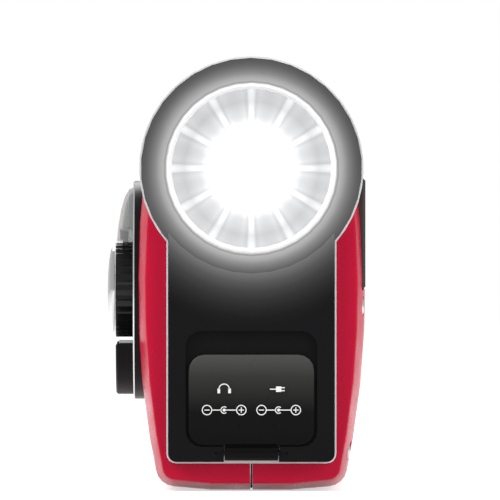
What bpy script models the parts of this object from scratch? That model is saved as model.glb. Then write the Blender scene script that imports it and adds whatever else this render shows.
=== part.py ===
"""Hand cranked weather radio with lamp, dial, speaker, crank generator and whip antenna.

Lengths are metres. The case is centred on Y = 0 and stands on Z = 0. +X is the lamp end,
-Y is the front with the dial and +Y is the back with the crank. Every part hangs from one
empty, radio_frame, which puts the middle of the whole outline over the world's origin.
"""

import math

import bmesh
import bpy
from mathutils import Matrix, Vector

# Clearances and shared counts
FIT_GAP = 0.0003
RUN_GAP = 0.0003
CUT_OVERRUN = 0.0020
SINK = 0.0008
MERGE_DISTANCE = 0.00001
FINE_STEPS = 34
ROUND_STEPS = 24
SMALL_STEPS = 12
TINY_STEPS = 8
SMOOTH_ANGLE = math.radians(38)
HALF = 0.5

# Case
CASE_LENGTH = 0.1800
CASE_DEPTH = 0.0680
CASE_TOP = 0.0930
WIDEST_HEIGHT = 0.0600
SIDE_BOW_RADIUS = 0.2770
BASE_FLAT_WIDTH = 0.0240
BASE_RISE = 0.0014
BASE_CORNER_RADIUS = 0.0060
TOP_CORNER_RADIUS = 0.0050
CASE_WALL = 0.0022
SEAM_GAP = 0.0007
END_EASE_LENGTH = 0.0160
END_EASE_DEPTH = 0.0024
END_EDGE_RADIUS = 0.0012
SIDE_POINTS = 5
CORNER_STEPS = 4
EASE_STEPS = 2
EDGE_STEPS = 2

# Lamp end: ring, panel and the housing behind them
LAMP_HEIGHT = 0.0961
RING_RADIUS = 0.0329
RING_DEPTH = 0.0072
RING_EDGE_DEPTH = 0.0022
RING_SIDE_DEPTH = 0.0012
RING_LIP_WIDTH = 0.0012
GASKET_THICKNESS = 0.0007
GASKET_MARGIN = 0.0005
PANEL_WIDTH = 0.0496
PANEL_BOTTOM = 0.0088
PANEL_THICKNESS = 0.0034
PANEL_CORNER_RADIUS = 0.0024
PANEL_BEVEL = 0.0022
LAMP_BARREL_RADIUS = 0.0270
LAMP_BARREL_LENGTH = 0.0260
LAMP_DOME_LENGTH = 0.0150
LAMP_WALL = 0.0016
DOME_STEPS = 4

# Lens stack
LENS_RING_OUTER = 0.0254
LENS_RING_INNER = 0.0237
LENS_RING_DEPTH = 0.0024
LENS_THICKNESS = 0.0012
LENS_CROWN = 0.0008
LENS_SHOULDER_SHARE = 0.75
REFLECTOR_FLANGE = 0.0008
REFLECTOR_DEPTH = 0.0230
REFLECTOR_THROAT = 0.0042
REFLECTOR_WALL = 0.0009
REFLECTOR_FACETS = 24
REFLECTOR_RINGS = 5
LED_BASE_RADIUS = 0.0085
LED_BASE_THICKNESS = 0.0016
LED_DOME_RADIUS = 0.0026

# Port bay, its cover and its jacks
COVER_WIDTH = 0.0373
COVER_BOTTOM = 0.0138
COVER_TOP = 0.0407
COVER_THICKNESS = 0.0026
COVER_CORNER_RADIUS = 0.0047
COVER_EDGE_RADIUS = 0.0005
COVER_MARGIN = 0.0009
SCOOP_TOP = 0.0478
RECESS_FLOOR = 0.0010
BAY_WIDTH = 0.0324
BAY_BOTTOM = 0.0165
BAY_TOP = 0.0380
BAY_WALL = 0.0014
BAY_DEPTH = 0.0080
HINGE_TAB_WIDTH = 0.0158
HINGE_HEIGHT = 0.0114
HINGE_RADIUS = 0.0022
HINGE_PIN_RADIUS = 0.0007
HINGE_PIN_LENGTH = 0.0210
HINGE_RECESS_MARGIN = 0.0004
JACK_SPACING = 0.0161
JACK_HEIGHT = 0.0262
JACK_WIDTH = 0.0090
JACK_LENGTH = 0.0120
JACK_SNOUT_RADIUS = 0.0039
JACK_SNOUT_LENGTH = 0.0028
DC_JACK_BORE = 0.0030
PHONE_JACK_BORE = 0.0021
DC_JACK_PIN = 0.0010
PHONE_JACK_PIN = 0.0006

# Tail head with the siren, and the carrying handle
TAIL_HEIGHT = 0.1045
TAIL_RADIUS = 0.0215
TAIL_PROUD = 0.0032
TAIL_BARREL_LENGTH = 0.0260
TAIL_DOME_LENGTH = 0.0140
TAIL_WALL = 0.0018
TAIL_EDGE_RADIUS = 0.0015
TAIL_SLOT_COUNT = 5
TAIL_SLOT_WIDTH = 0.0022
TAIL_SLOT_PITCH = 0.0052
TAIL_SLOT_LENGTH = 0.0240
SIREN_RADIUS = 0.0150
SIREN_DEPTH = 0.0090
HANDLE_BOTTOM = 0.1130
HANDLE_THICKNESS = 0.0105
HANDLE_WIDTH = 0.0200
HANDLE_EDGE_RADIUS = 0.0035
GRIP_LENGTH = 0.0640
GRIP_SKIN = 0.0016
GRIP_RIB_COUNT = 6
GRIP_RIB_DEPTH = 0.0006

# Dial pod on the front
DIAL_X = 0.0450
DIAL_HEIGHT = 0.0594
DIAL_RADIUS = 0.0314
DIAL_PROUD = 0.0006
DIAL_DEPTH = 0.0064
DIAL_FLOOR_DEPTH = 0.0022
DIAL_RIM = 0.0014
DIAL_PLATE_THICKNESS = 0.0005
TRIM_WIDTH = 0.0012
TRIM_PROUD = 0.0008
TRIM_DEPTH = 0.0040
WINDOW_SILL_HEIGHT = 0.0146
WINDOW_SILL_THICKNESS = 0.0033
WINDOW_PROUD = 0.0062
WINDOW_WALL = 0.0014
WINDOW_STEPS = 7
WINDOW_SWELL = 0.8
POD_BLOCK_INNER = 0.0198
POD_BLOCK_TOP = 0.0158
POD_BLOCK_PROUD = 0.0060
POD_BLOCK_CHAMFER = 0.0012
POINTER_THICKNESS = 0.0006
POINTER_WIDTH = 0.0012
POINTER_HUB_RADIUS = 0.0042
SHAFT_RADIUS = 0.0020
KNOB_RADIUS = 0.0142
KNOB_THICKNESS = 0.0064
KNOB_RIBS = 36
KNOB_RIB_DEPTH = 0.0004
KNOB_CAP_RADIUS = 0.0130
KNOB_CAP_CROWN = 0.0021
SELECTOR_PLATE_THICKNESS = 0.0006
SELECTOR_TAB_INNER = 0.0153
SELECTOR_TAB_OUTER = 0.0188
SELECTOR_TAB_PROUD = 0.0052
SELECTOR_HALF_ANGLE = math.radians(32)
SELECTOR_TAB_HALF_ANGLE = math.radians(9)
POINTER_SWEEP = math.radians(55)
CAPACITOR_SIDE = 0.0200

# Speaker on the front
SPEAKER_X = -0.0420
SPEAKER_HEIGHT = 0.0560
SPEAKER_RADIUS = 0.0290
GRILLE_FLANGE = 0.0016
GRILLE_THICKNESS = 0.0016
GRILLE_DEPTH = 0.0036
GRILLE_SLOT_WIDTH = 0.0018
GRILLE_SLOT_ROWS = 7
GRILLE_SLOT_PITCH = 0.0052
GRILLE_SLOT_EDGE = 0.0030
CONE_DEPTH = 0.0110
CONE_WALL = 0.0008
CONE_THROAT = 0.0070
BASKET_DEPTH = 0.0140
BASKET_WALL = 0.0010
MAGNET_RADIUS = 0.0150
MAGNET_DEPTH = 0.0080

# Centre column on the front
COLUMN_X = 0.0005
VOLUME_HEIGHT = 0.0700
VOLUME_RADIUS = 0.0080
VOLUME_THICKNESS = 0.0050
VOLUME_RIBS = 18
POT_SIDE = 0.0120
POT_DEPTH = 0.0125
ALERT_HEIGHT = 0.0500
ALERT_RADIUS = 0.0046
ALERT_PROUD = 0.0018
ALERT_TRAVEL = 0.0010
ALERT_FLANGE = 0.0012
SWITCH_HEIGHT = 0.0300
SWITCH_LENGTH = 0.0080
SWITCH_WIDTH = 0.0050
SWITCH_PROUD = 0.0016
SWITCH_TRAVEL = 0.0060
LIGHT_HEIGHT = 0.0850
LIGHT_RADIUS = 0.0016
LIGHT_SPACING = 0.0090
LIGHT_PROUD = 0.0008
LIGHT_DEPTH = 0.0060

# Crank and generator on the back
CRANK_X = -0.0350
CRANK_HEIGHT = 0.0500
DISH_RADIUS = 0.0350
DISH_WALL = 0.0014
DISH_DEPTH = 0.0128
CRANK_THROW = 0.0270
CRANK_HUB_RADIUS = 0.0080
CRANK_RAIL_WIDTH = 0.0036
CRANK_RAIL_THICKNESS = 0.0048
CRANK_FORK_WIDTH = 0.0128
CRANK_SINK = 0.0030
CRANK_SHAFT_RADIUS = 0.0022
CARRIER_LENGTH = 0.0040
CARRIER_THICKNESS = 0.0060
CARRIER_PIN_RADIUS = 0.0010
SPINDLE_RADIUS = 0.0014
SPINDLE_HEAD_RADIUS = 0.0024
SPINDLE_HEAD_THICKNESS = 0.0010
GRIP_KNOB_RADIUS = 0.0052
GRIP_KNOB_LENGTH = 0.0130
GRIP_KNOB_BORE = 0.0018
GEAR_MODULE = 0.0012
GEAR_ADDENDUM_SHARE = 0.85
GEAR_DEDENDUM_SHARE = 1.15
GEAR_BACKLASH = 0.0003
TOOTH_ROOT_SHARE = 0.34
TOOTH_TIP_SHARE = 0.13
DRIVE_TEETH = 40
IDLER_SMALL_TEETH = 12
IDLER_LARGE_TEETH = 36
ROTOR_TEETH = 12
IDLER_BEARING = math.radians(-30)
ROTOR_BEARING = math.radians(80)
DRIVE_GEAR_THICKNESS = 0.0030
IDLER_GEAR_THICKNESS = 0.0026
AXLE_RADIUS = 0.0012
GEAR_FRAME_THICKNESS = 0.0020
GEAR_FRAME_MARGIN = 0.0050
POST_RADIUS = 0.0022
DYNAMO_RADIUS = 0.0130
DYNAMO_DEPTH = 0.0130
DYNAMO_WALL = 0.0016
ROTOR_RADIUS = 0.0090
ROTOR_LENGTH = 0.0090

# Battery bay on the back
DOOR_X = 0.0430
DOOR_LENGTH = 0.0600
DOOR_BOTTOM = 0.0095
DOOR_TOP = 0.0550
DOOR_CORNER_RADIUS = 0.0040
DOOR_NOTCH_LENGTH = 0.0160
DOOR_NOTCH_WIDTH = 0.0050
DOOR_NOTCH_DEPTH = 0.0009
CELL_RADIUS = 0.0070
CELL_LENGTH = 0.0492
CELL_BUTTON_RADIUS = 0.0027
CELL_BUTTON_LENGTH = 0.0010
CELL_COUNT = 3
CELL_SQUEEZE = 0.0002
TRAY_WALL = 0.0012
TRAY_FLOOR = 0.0125

# Antenna along the rear top edge
ANTENNA_X = 0.0560
ANTENNA_Y = 0.0296
ANTENNA_HEIGHT = 0.0972
MOUNT_LENGTH = 0.0340
MOUNT_BOTTOM = 0.0600
MOUNT_TOP = 0.0932
MOUNT_INNER_Y = 0.0262
MOUNT_OUTER_Y = 0.0340
KNUCKLE_RADIUS = 0.0034
KNUCKLE_POST_RADIUS = 0.0022
KNUCKLE_POST_LENGTH = 0.0080
KNUCKLE_SLOT = 0.0028
TONGUE_THICKNESS = 0.0022
TONGUE_RADIUS = 0.0026
TONGUE_LENGTH = 0.0080
PIVOT_PIN_RADIUS = 0.0009
TUBE_RADII = (0.0033, 0.0025, 0.0017, 0.0009)
TUBE_WALL = 0.0005
TUBE_LENGTH = 0.1160
TUBE_STEP = 0.0022
TUBE_SHOW = 0.0022
TIP_RADIUS = 0.0026
TIP_LENGTH = 0.0050
REST_X = -0.0640
REST_LENGTH = 0.0060
REST_THICKNESS = 0.0022

# Electronics inside
BOARD_THICKNESS = 0.0016
BOARD_Y = -0.0136
BOARD_LEFT = -0.0080
BOARD_RIGHT = 0.0700
BOARD_BOTTOM = 0.0080
BOARD_TOP = 0.0640
FERRITE_RADIUS = 0.0048
FERRITE_LENGTH = 0.0780
FERRITE_Y = 0.0120
FERRITE_X = 0.0010
COIL_RADIUS = 0.0060
COIL_LENGTH = 0.0200
PACK_LENGTH = 0.0440
PACK_RADIUS = 0.0050
PACK_CELLS = 3
PACK_X = 0.0420
SCREW_HEAD_RADIUS = 0.0028
SCREW_HEAD_THICKNESS = 0.0016
SCREW_SHANK_RADIUS = 0.0014
SCREW_LENGTH = 0.0120
SCREW_POST_RADIUS = 0.0040
SCREW_INSET_X = 0.0100
SCREW_LOW = 0.0120
SCREW_HIGH = 0.0550

# Places worked out from the sizes above
CASE_END = CASE_LENGTH * HALF
CASE_HALF_DEPTH = CASE_DEPTH * HALF
CAP_BACK = CASE_END + FIT_GAP + GASKET_THICKNESS + FIT_GAP
RING_FRONT = CAP_BACK + RING_DEPTH
PANEL_FRONT = CAP_BACK + PANEL_THICKNESS
DIAL_FACE_Y = -CASE_HALF_DEPTH - DIAL_PROUD
DIAL_FLOOR_Y = DIAL_FACE_Y + DIAL_FLOOR_DEPTH
DIAL_PLATE_FRONT_Y = DIAL_FLOOR_Y - FIT_GAP - DIAL_PLATE_THICKNESS
POINTER_BACK_Y = DIAL_PLATE_FRONT_Y - RUN_GAP
POINTER_FRONT_Y = POINTER_BACK_Y - POINTER_THICKNESS
KNOB_BACK_Y = POINTER_FRONT_Y - RUN_GAP
KNOB_FRONT_Y = KNOB_BACK_Y - KNOB_THICKNESS
KNOB_CAP_BACK_Y = KNOB_FRONT_Y - FIT_GAP
FRONT_REACH = KNOB_CAP_CROWN - KNOB_CAP_BACK_Y
TAIL_END = CASE_END + TAIL_PROUD
FRAME_X = (TAIL_END - RING_FRONT) * HALF
CRANK_FLOOR_Y = CASE_HALF_DEPTH - DISH_DEPTH
FRAME_Y = (FRONT_REACH - max(CASE_HALF_DEPTH, MOUNT_OUTER_Y)) * HALF
IDLER_DISTANCE = GEAR_MODULE * (DRIVE_TEETH + IDLER_SMALL_TEETH) * HALF
ROTOR_DISTANCE = GEAR_MODULE * (IDLER_LARGE_TEETH + ROTOR_TEETH) * HALF
IDLER_X = CRANK_X + IDLER_DISTANCE * math.cos(IDLER_BEARING)
IDLER_HEIGHT = CRANK_HEIGHT + IDLER_DISTANCE * math.sin(IDLER_BEARING)
ROTOR_X = IDLER_X + ROTOR_DISTANCE * math.cos(ROTOR_BEARING)
ROTOR_HEIGHT = IDLER_HEIGHT + ROTOR_DISTANCE * math.sin(ROTOR_BEARING)
DISH_BACK_Y = CRANK_FLOOR_Y - DISH_WALL
DRIVE_GEAR_TOP_Y = DISH_BACK_Y - RUN_GAP
DRIVE_GEAR_LOW_Y = DRIVE_GEAR_TOP_Y - DRIVE_GEAR_THICKNESS
IDLER_GEAR_TOP_Y = DRIVE_GEAR_LOW_Y - RUN_GAP
IDLER_GEAR_LOW_Y = IDLER_GEAR_TOP_Y - IDLER_GEAR_THICKNESS
GEAR_FRAME_TOP_Y = IDLER_GEAR_LOW_Y - RUN_GAP
GEAR_FRAME_LOW_Y = GEAR_FRAME_TOP_Y - GEAR_FRAME_THICKNESS
POD_SILL = DIAL_HEIGHT + WINDOW_SILL_HEIGHT

PARTS = None
CUTTERS = None
ANCHOR = None
MATERIALS = {}


def clear_scene():
    """Remove what the open file holds, and make the two collections and the anchor."""
    global PARTS, CUTTERS, ANCHOR
    for item in list(bpy.data.objects):
        bpy.data.objects.remove(item, do_unlink=True)
    PARTS = bpy.data.collections.new("weather_radio")
    CUTTERS = bpy.data.collections.new("cutters")
    for group in (PARTS, CUTTERS):
        bpy.context.scene.collection.children.link(group)
    ANCHOR = bpy.data.objects.new("radio_frame", None)
    ANCHOR.location = (FRAME_X, FRAME_Y, 0)
    PARTS.objects.link(ANCHOR)


def make_material(name, color, roughness, metallic=0.0, alpha=1.0):
    """A Principled material, kept under its name."""
    material = bpy.data.materials.new(name)
    material.use_nodes = True
    shader = material.node_tree.nodes["Principled BSDF"]
    shader.inputs["Base Color"].default_value = (*color, 1.0)
    shader.inputs["Roughness"].default_value = roughness
    shader.inputs["Metallic"].default_value = metallic
    shader.inputs["Alpha"].default_value = alpha
    MATERIALS[name] = material


def pivot(name, place, parent=None):
    """An empty on a joint's axis, at a place in the case's own frame."""
    empty = bpy.data.objects.new(name, None)
    base = Vector(parent["place"]) if parent else Vector((0, 0, 0))
    empty["place"] = place
    empty.location = Vector(place) - base
    empty.parent = parent or ANCHOR
    PARTS.objects.link(empty)
    return empty


def place(item, where, parent=None):
    """Hang an object from a pivot, or from the frame, at a place in the case's own frame."""
    base = Vector(parent["place"]) if parent else Vector((0, 0, 0))
    item.parent = parent or ANCHOR
    item.location = Vector(where) - base
    return item


def as_part(item, name, material):
    """Name an object as a piece of the radio and give it a finish."""
    item.name = name
    item.data.name = name
    item.data.materials.clear()
    item.data.materials.append(MATERIALS[material])
    for group in list(item.users_collection):
        group.objects.unlink(item)
    PARTS.objects.link(item)
    item.data.shade_smooth()
    item.data.set_sharp_from_angle(angle=SMOOTH_ANGLE)
    return item


def as_cutter(item):
    """Keep an object as a tool for Booleans only."""
    for group in list(item.users_collection):
        group.objects.unlink(item)
    CUTTERS.objects.link(item)
    item.hide_render = True
    item.display_type = "WIRE"
    if item.parent is None:
        item.parent = ANCHOR
    return item


def from_bmesh(shape, name="shape"):
    """Turn a bmesh into a linked object."""
    bmesh.ops.recalc_face_normals(shape, faces=shape.faces)
    mesh = bpy.data.meshes.new(name)
    shape.to_mesh(mesh)
    shape.free()
    item = bpy.data.objects.new(name, mesh)
    CUTTERS.objects.link(item)
    return item


AXIS_TURN = {
    "X": Matrix(((0, 0, 1, 0), (0, 1, 0, 0), (-1, 0, 0, 0), (0, 0, 0, 1))),
    "Y": Matrix(((1, 0, 0, 0), (0, 0, 1, 0), (0, -1, 0, 0), (0, 0, 0, 1))),
    "Z": Matrix.Identity(4),
}
PLATE_TURN = {
    "X": Matrix(((0, 0, 1, 0), (1, 0, 0, 0), (0, 1, 0, 0), (0, 0, 0, 1))),
    "Y": Matrix(((1, 0, 0, 0), (0, 0, -1, 0), (0, 1, 0, 0), (0, 0, 0, 1))),
    "Z": Matrix.Identity(4),
}


def block(low, high):
    """A box between two corners, from the cube primitive."""
    shape = bmesh.new()
    bmesh.ops.create_cube(shape, size=1)
    size = [b - a for a, b in zip(low, high)]
    middle = [(a + b) * HALF for a, b in zip(low, high)]
    bmesh.ops.scale(shape, vec=size, verts=shape.verts)
    item = from_bmesh(shape)
    item.location = middle
    item.parent = ANCHOR
    return item


def rod(axis, radius, start, length, at=(0, 0, 0), steps=SMALL_STEPS):
    """A round bar along an axis: start is its low end on that axis, at gives the other two places."""
    shape = bmesh.new()
    bmesh.ops.create_cone(shape, cap_ends=True, segments=steps, radius1=radius, radius2=radius, depth=length)
    bmesh.ops.transform(shape, matrix=AXIS_TURN[axis], verts=shape.verts)
    item = from_bmesh(shape)
    where = Vector(at)
    where["XYZ".index(axis)] = start + length * HALF
    item.location = where
    item.parent = ANCHOR
    return item


def clockwise(profile):
    """A turned profile in the order that Screw needs: down its outer side."""
    area = 0
    for (r1, h1), (r2, h2) in zip(profile, profile[1:] + profile[:1]):
        area += r1 * h2 - r2 * h1
    return profile if area < 0 else profile[::-1]


def turned(axis, profile, at=(0, 0, 0), steps=ROUND_STEPS, closed=False):
    """Turn a profile of (radius, height) points about an axis through a place, with Screw."""
    profile = clockwise(list(profile))
    if not closed:
        count = len(profile)
        start = [i for i in range(count) if profile[i][0] == 0 and profile[(i + 1) % count][0] > 0][0]
        profile = profile[start:] + profile[:start]
    mesh = bpy.data.meshes.new("profile")
    count = len(profile)
    edges = [(i, i + 1) for i in range(count - 1)]
    if closed:
        edges.append((count - 1, 0))
    mesh.from_pydata([(radius, 0, height) for radius, height in profile], edges, [])
    item = bpy.data.objects.new("turned", mesh)
    CUTTERS.objects.link(item)
    screw = item.modifiers.new("Screw", "SCREW")
    screw.steps = screw.render_steps = steps
    screw.use_merge_vertices = True
    screw.merge_threshold = MERGE_DISTANCE
    item.rotation_euler = AXIS_TURN[axis].to_euler()
    item.location = at
    item.parent = ANCHOR
    return item


def plate(axis, outline, thickness, at=(0, 0, 0), holes=()):
    """A flat piece square to an axis: a filled 2D curve, made a mesh, with its low face at the place."""
    curve = bpy.data.curves.new("outline", "CURVE")
    curve.dimensions = "2D"
    curve.fill_mode = "BOTH"
    curve.extrude = thickness * HALF
    for points in (outline, *holes):
        spline = curve.splines.new("POLY")
        spline.points.add(len(points) - 1)
        for point, (u, v) in zip(spline.points, points):
            point.co = (u, v, 0, 1)
        spline.use_cyclic_u = True
    drawn = bpy.data.objects.new("outline", curve)
    CUTTERS.objects.link(drawn)
    bpy.context.view_layer.update()
    graph = bpy.context.evaluated_depsgraph_get()
    mesh = bpy.data.meshes.new_from_object(drawn.evaluated_get(graph))
    bpy.data.objects.remove(drawn)
    shape = bmesh.new()
    shape.from_mesh(mesh)
    bmesh.ops.remove_doubles(shape, verts=shape.verts, dist=MERGE_DISTANCE)
    bmesh.ops.transform(shape, matrix=PLATE_TURN[axis], verts=shape.verts)
    item = from_bmesh(shape)
    where = Vector(at)
    where["XYZ".index(axis)] += thickness * HALF
    item.location = where
    item.parent = ANCHOR
    return item


def loft(rings):
    """A closed solid through rings of as many points each."""
    shape = bmesh.new()
    loops = [[shape.verts.new(point) for point in ring] for ring in rings]
    for first, second in zip(loops, loops[1:]):
        for i in range(len(first)):
            j = (i + 1) % len(first)
            shape.faces.new((first[i], first[j], second[j], second[i]))
    shape.faces.new(loops[0])
    shape.faces.new(loops[-1])
    item = from_bmesh(shape)
    item.parent = ANCHOR
    return item


def combine(item, operation, others):
    """Cut, join or keep the overlap of an object with others, by EXACT Booleans."""
    others = list(others)
    for other in others:
        as_cutter(other)
    if len(others) == 1:
        tool = item.modifiers.new(operation.title(), "BOOLEAN")
        tool.operation = operation
        tool.object = others[0]
        return item
    group = bpy.data.collections.new("tools")
    CUTTERS.children.link(group)
    for other in others:
        CUTTERS.objects.unlink(other)
        group.objects.link(other)
    tool = item.modifiers.new(operation.title(), "BOOLEAN")
    tool.operation = operation
    tool.operand_type = "COLLECTION"
    tool.collection = group
    return item


def cut(item, *others):
    """Take other shapes away from an object."""
    return combine(item, "DIFFERENCE", others)


def join(item, *others):
    """Join other shapes to an object."""
    return combine(item, "UNION", others)


def keep(item, other):
    """Keep only what an object shares with another shape."""
    return combine(item, "INTERSECT", [other])


def soften(item, width, segments=2):
    """Round the sharp edges of an object."""
    bevel = item.modifiers.new("Bevel", "BEVEL")
    bevel.width = width
    bevel.segments = segments
    bevel.limit_method = "ANGLE"
    bevel.angle_limit = SMOOTH_ANGLE
    return item


def arc(radius, start, end, steps, centre=(0, 0)):
    """Points on an arc, both ends included."""
    points = []
    for i in range(steps + 1):
        angle = start + (end - start) * i / steps
        points.append((centre[0] + radius * math.cos(angle), centre[1] + radius * math.sin(angle)))
    return points


def circle(radius, steps, centre=(0, 0)):
    """Points round a circle."""
    return arc(radius, 0, math.tau, steps, centre)[:-1]


def round_corner(before, corner, after, radius, steps):
    """The arc that rounds one corner of an outline."""
    corner = Vector(corner)
    inward = (Vector(before) - corner).normalized()
    onward = (Vector(after) - corner).normalized()
    half_angle = inward.angle(onward) * HALF
    reach = radius / math.tan(half_angle)
    centre = corner + (inward + onward).normalized() * (radius / math.sin(half_angle))
    first = corner + inward * reach - centre
    last = corner + onward * reach - centre
    sweep = first.angle_signed(last)
    points = []
    for i in range(steps + 1):
        turn = Matrix.Rotation(-sweep * i / steps, 2)
        points.append(tuple(centre + turn @ first))
    return points


def rounded_box(low, high, radius, steps=4):
    """The outline of a rectangle with round corners."""
    corners = [(low[0], low[1]), (high[0], low[1]), (high[0], high[1]), (low[0], high[1])]
    points = []
    for i, corner in enumerate(corners):
        points += round_corner(corners[i - 1], corner, corners[(i + 1) % 4], radius, steps)
    return points


def side_y(height, inset=0):
    """Half depth of the case at a height: a shallow bow, fullest at WIDEST_HEIGHT."""
    rise = height - WIDEST_HEIGHT
    return CASE_HALF_DEPTH - inset - (SIDE_BOW_RADIUS - math.sqrt(SIDE_BOW_RADIUS**2 - rise**2))


def end_inset(x):
    """How far the case's sides have drawn in at a station along its length."""
    start = CASE_END - END_EASE_LENGTH
    if abs(x) <= start:
        return 0
    return END_EASE_DEPTH * ((abs(x) - start) / END_EASE_LENGTH) ** 2


def section(x, inset):
    """The case's cross section at a station, drawn in by an inset all round."""
    low = BASE_RISE + inset
    high = CASE_TOP - inset
    base = (BASE_FLAT_WIDTH * HALF, inset)
    low_corner = (side_y(low, inset), low)
    high_corner = (side_y(high, inset), high)
    heel = low + BASE_CORNER_RADIUS
    brow = high - TOP_CORNER_RADIUS
    sides = []
    for i in range(SIDE_POINTS):
        height = heel + (brow - heel) * (i + HALF) / SIDE_POINTS
        sides.append((side_y(height, inset), height))
    right = [base]
    right += round_corner(base, low_corner, sides[0], max(BASE_CORNER_RADIUS - inset, SINK), CORNER_STEPS)
    right += sides
    brow_radius = max(TOP_CORNER_RADIUS - inset, SINK)
    right += round_corner(sides[-1], high_corner, (0, high), brow_radius, CORNER_STEPS)
    outline = right + [(-y, z) for y, z in reversed(right)]
    return [(x, y, z) for y, z in outline]


def case_block(inset=0, end=CASE_END, ease_steps=EASE_STEPS):
    """A solid of the case's outside, drawn in by an inset, between its two ends."""
    edge = max(END_EDGE_RADIUS - inset, 0)
    start = CASE_END - END_EASE_LENGTH
    stations = [(start, inset)]
    for i in range(1, ease_steps + 1):
        x = start + (end - edge - start) * i / ease_steps
        stations.append((x, inset + end_inset(x)))
    if edge > 0:
        foot = stations[-1][1]
        for i in range(1, EDGE_STEPS + 1):
            angle = math.pi * HALF * i / EDGE_STEPS
            stations.append((end - edge + edge * math.sin(angle), foot + edge * (1 - math.cos(angle))))
    rings = [section(x, depth) for x, depth in stations]
    mirrored = [[(-x, y, z) for x, y, z in ring] for ring in reversed(rings)]
    return loft(mirrored + rings)


def lamp_outline(clearance=0):
    """The lamp housing's profile behind its ring, heights counted from the ring's back."""
    radius = LAMP_BARREL_RADIUS + clearance
    points = [(radius, -LAMP_BARREL_LENGTH)]
    for i in range(1, DOME_STEPS):
        angle = math.pi * HALF * i / DOME_STEPS
        drop = (LAMP_DOME_LENGTH + clearance) * math.sin(angle)
        points.append((radius * math.cos(angle), -LAMP_BARREL_LENGTH - drop))
    points.append((0, -LAMP_BARREL_LENGTH - LAMP_DOME_LENGTH - clearance))
    return points


def tail_outline(clearance=0):
    """The tail head's profile, heights counted from its outer face towards the lamp end."""
    radius = TAIL_RADIUS + clearance
    points = [(radius, TAIL_BARREL_LENGTH)]
    for i in range(1, DOME_STEPS):
        angle = math.pi * HALF * i / DOME_STEPS
        rise = (TAIL_DOME_LENGTH + clearance) * math.sin(angle)
        points.append((radius * math.cos(angle), TAIL_BARREL_LENGTH + rise))
    points.append((0, TAIL_BARREL_LENGTH + TAIL_DOME_LENGTH + clearance))
    return points


def lamp_clearance():
    """A cutter a fit gap larger than the lamp housing, which runs out past the ring's back."""
    profile = [(0, CUT_OVERRUN), (LAMP_BARREL_RADIUS + FIT_GAP, CUT_OVERRUN)] + lamp_outline(FIT_GAP)
    return turned("X", profile, (CAP_BACK, 0, LAMP_HEIGHT), FINE_STEPS)


def tail_clearance():
    """A cutter a fit gap larger than the tail head."""
    profile = [(0, -CUT_OVERRUN), (TAIL_RADIUS + FIT_GAP, -CUT_OVERRUN)] + tail_outline(FIT_GAP)
    return turned("X", profile, (-TAIL_END, 0, TAIL_HEIGHT), FINE_STEPS)


def bay_clearance():
    """A cutter for the port bay's outer walls."""
    margin = BAY_WALL + FIT_GAP
    reach = BAY_WIDTH * HALF + margin
    low = (CAP_BACK - BAY_DEPTH - CUT_OVERRUN, -reach, BAY_BOTTOM - margin)
    return block(low, (CAP_BACK + CUT_OVERRUN, reach, BAY_TOP + margin))


def screw_places():
    """Where the four case screws stand, as (x, height)."""
    reach = CASE_END - SCREW_INSET_X
    return [(-reach, SCREW_LOW), (-reach, SCREW_HIGH), (reach, SCREW_LOW), (reach, SCREW_HIGH)]


def wall_post(side, x, height, radius, end):
    """A post that grows from inside a side wall towards the middle; side is -1 front, 1 back."""
    foot = side_y(height) - end_inset(x) - CASE_WALL * HALF
    if side < 0:
        return rod("Y", radius, -foot, foot + end, (x, 0, height), TINY_STEPS)
    return rod("Y", radius, end, foot - end, (x, 0, height), TINY_STEPS)


def shell(side):
    """One half of the case's wall, before its own openings; side is -1 front, 1 back."""
    half = case_block()
    cut(half, case_block(CASE_WALL, CASE_END - CASE_WALL, EASE_STEPS - 1))
    reach = CASE_LENGTH
    seam = SEAM_GAP * HALF
    low = (-reach, seam, -CUT_OVERRUN) if side > 0 else (-reach, -reach, -CUT_OVERRUN)
    high = (reach, reach, reach) if side > 0 else (reach, -seam, reach)
    keep(half, block(low, high))
    return half


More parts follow.
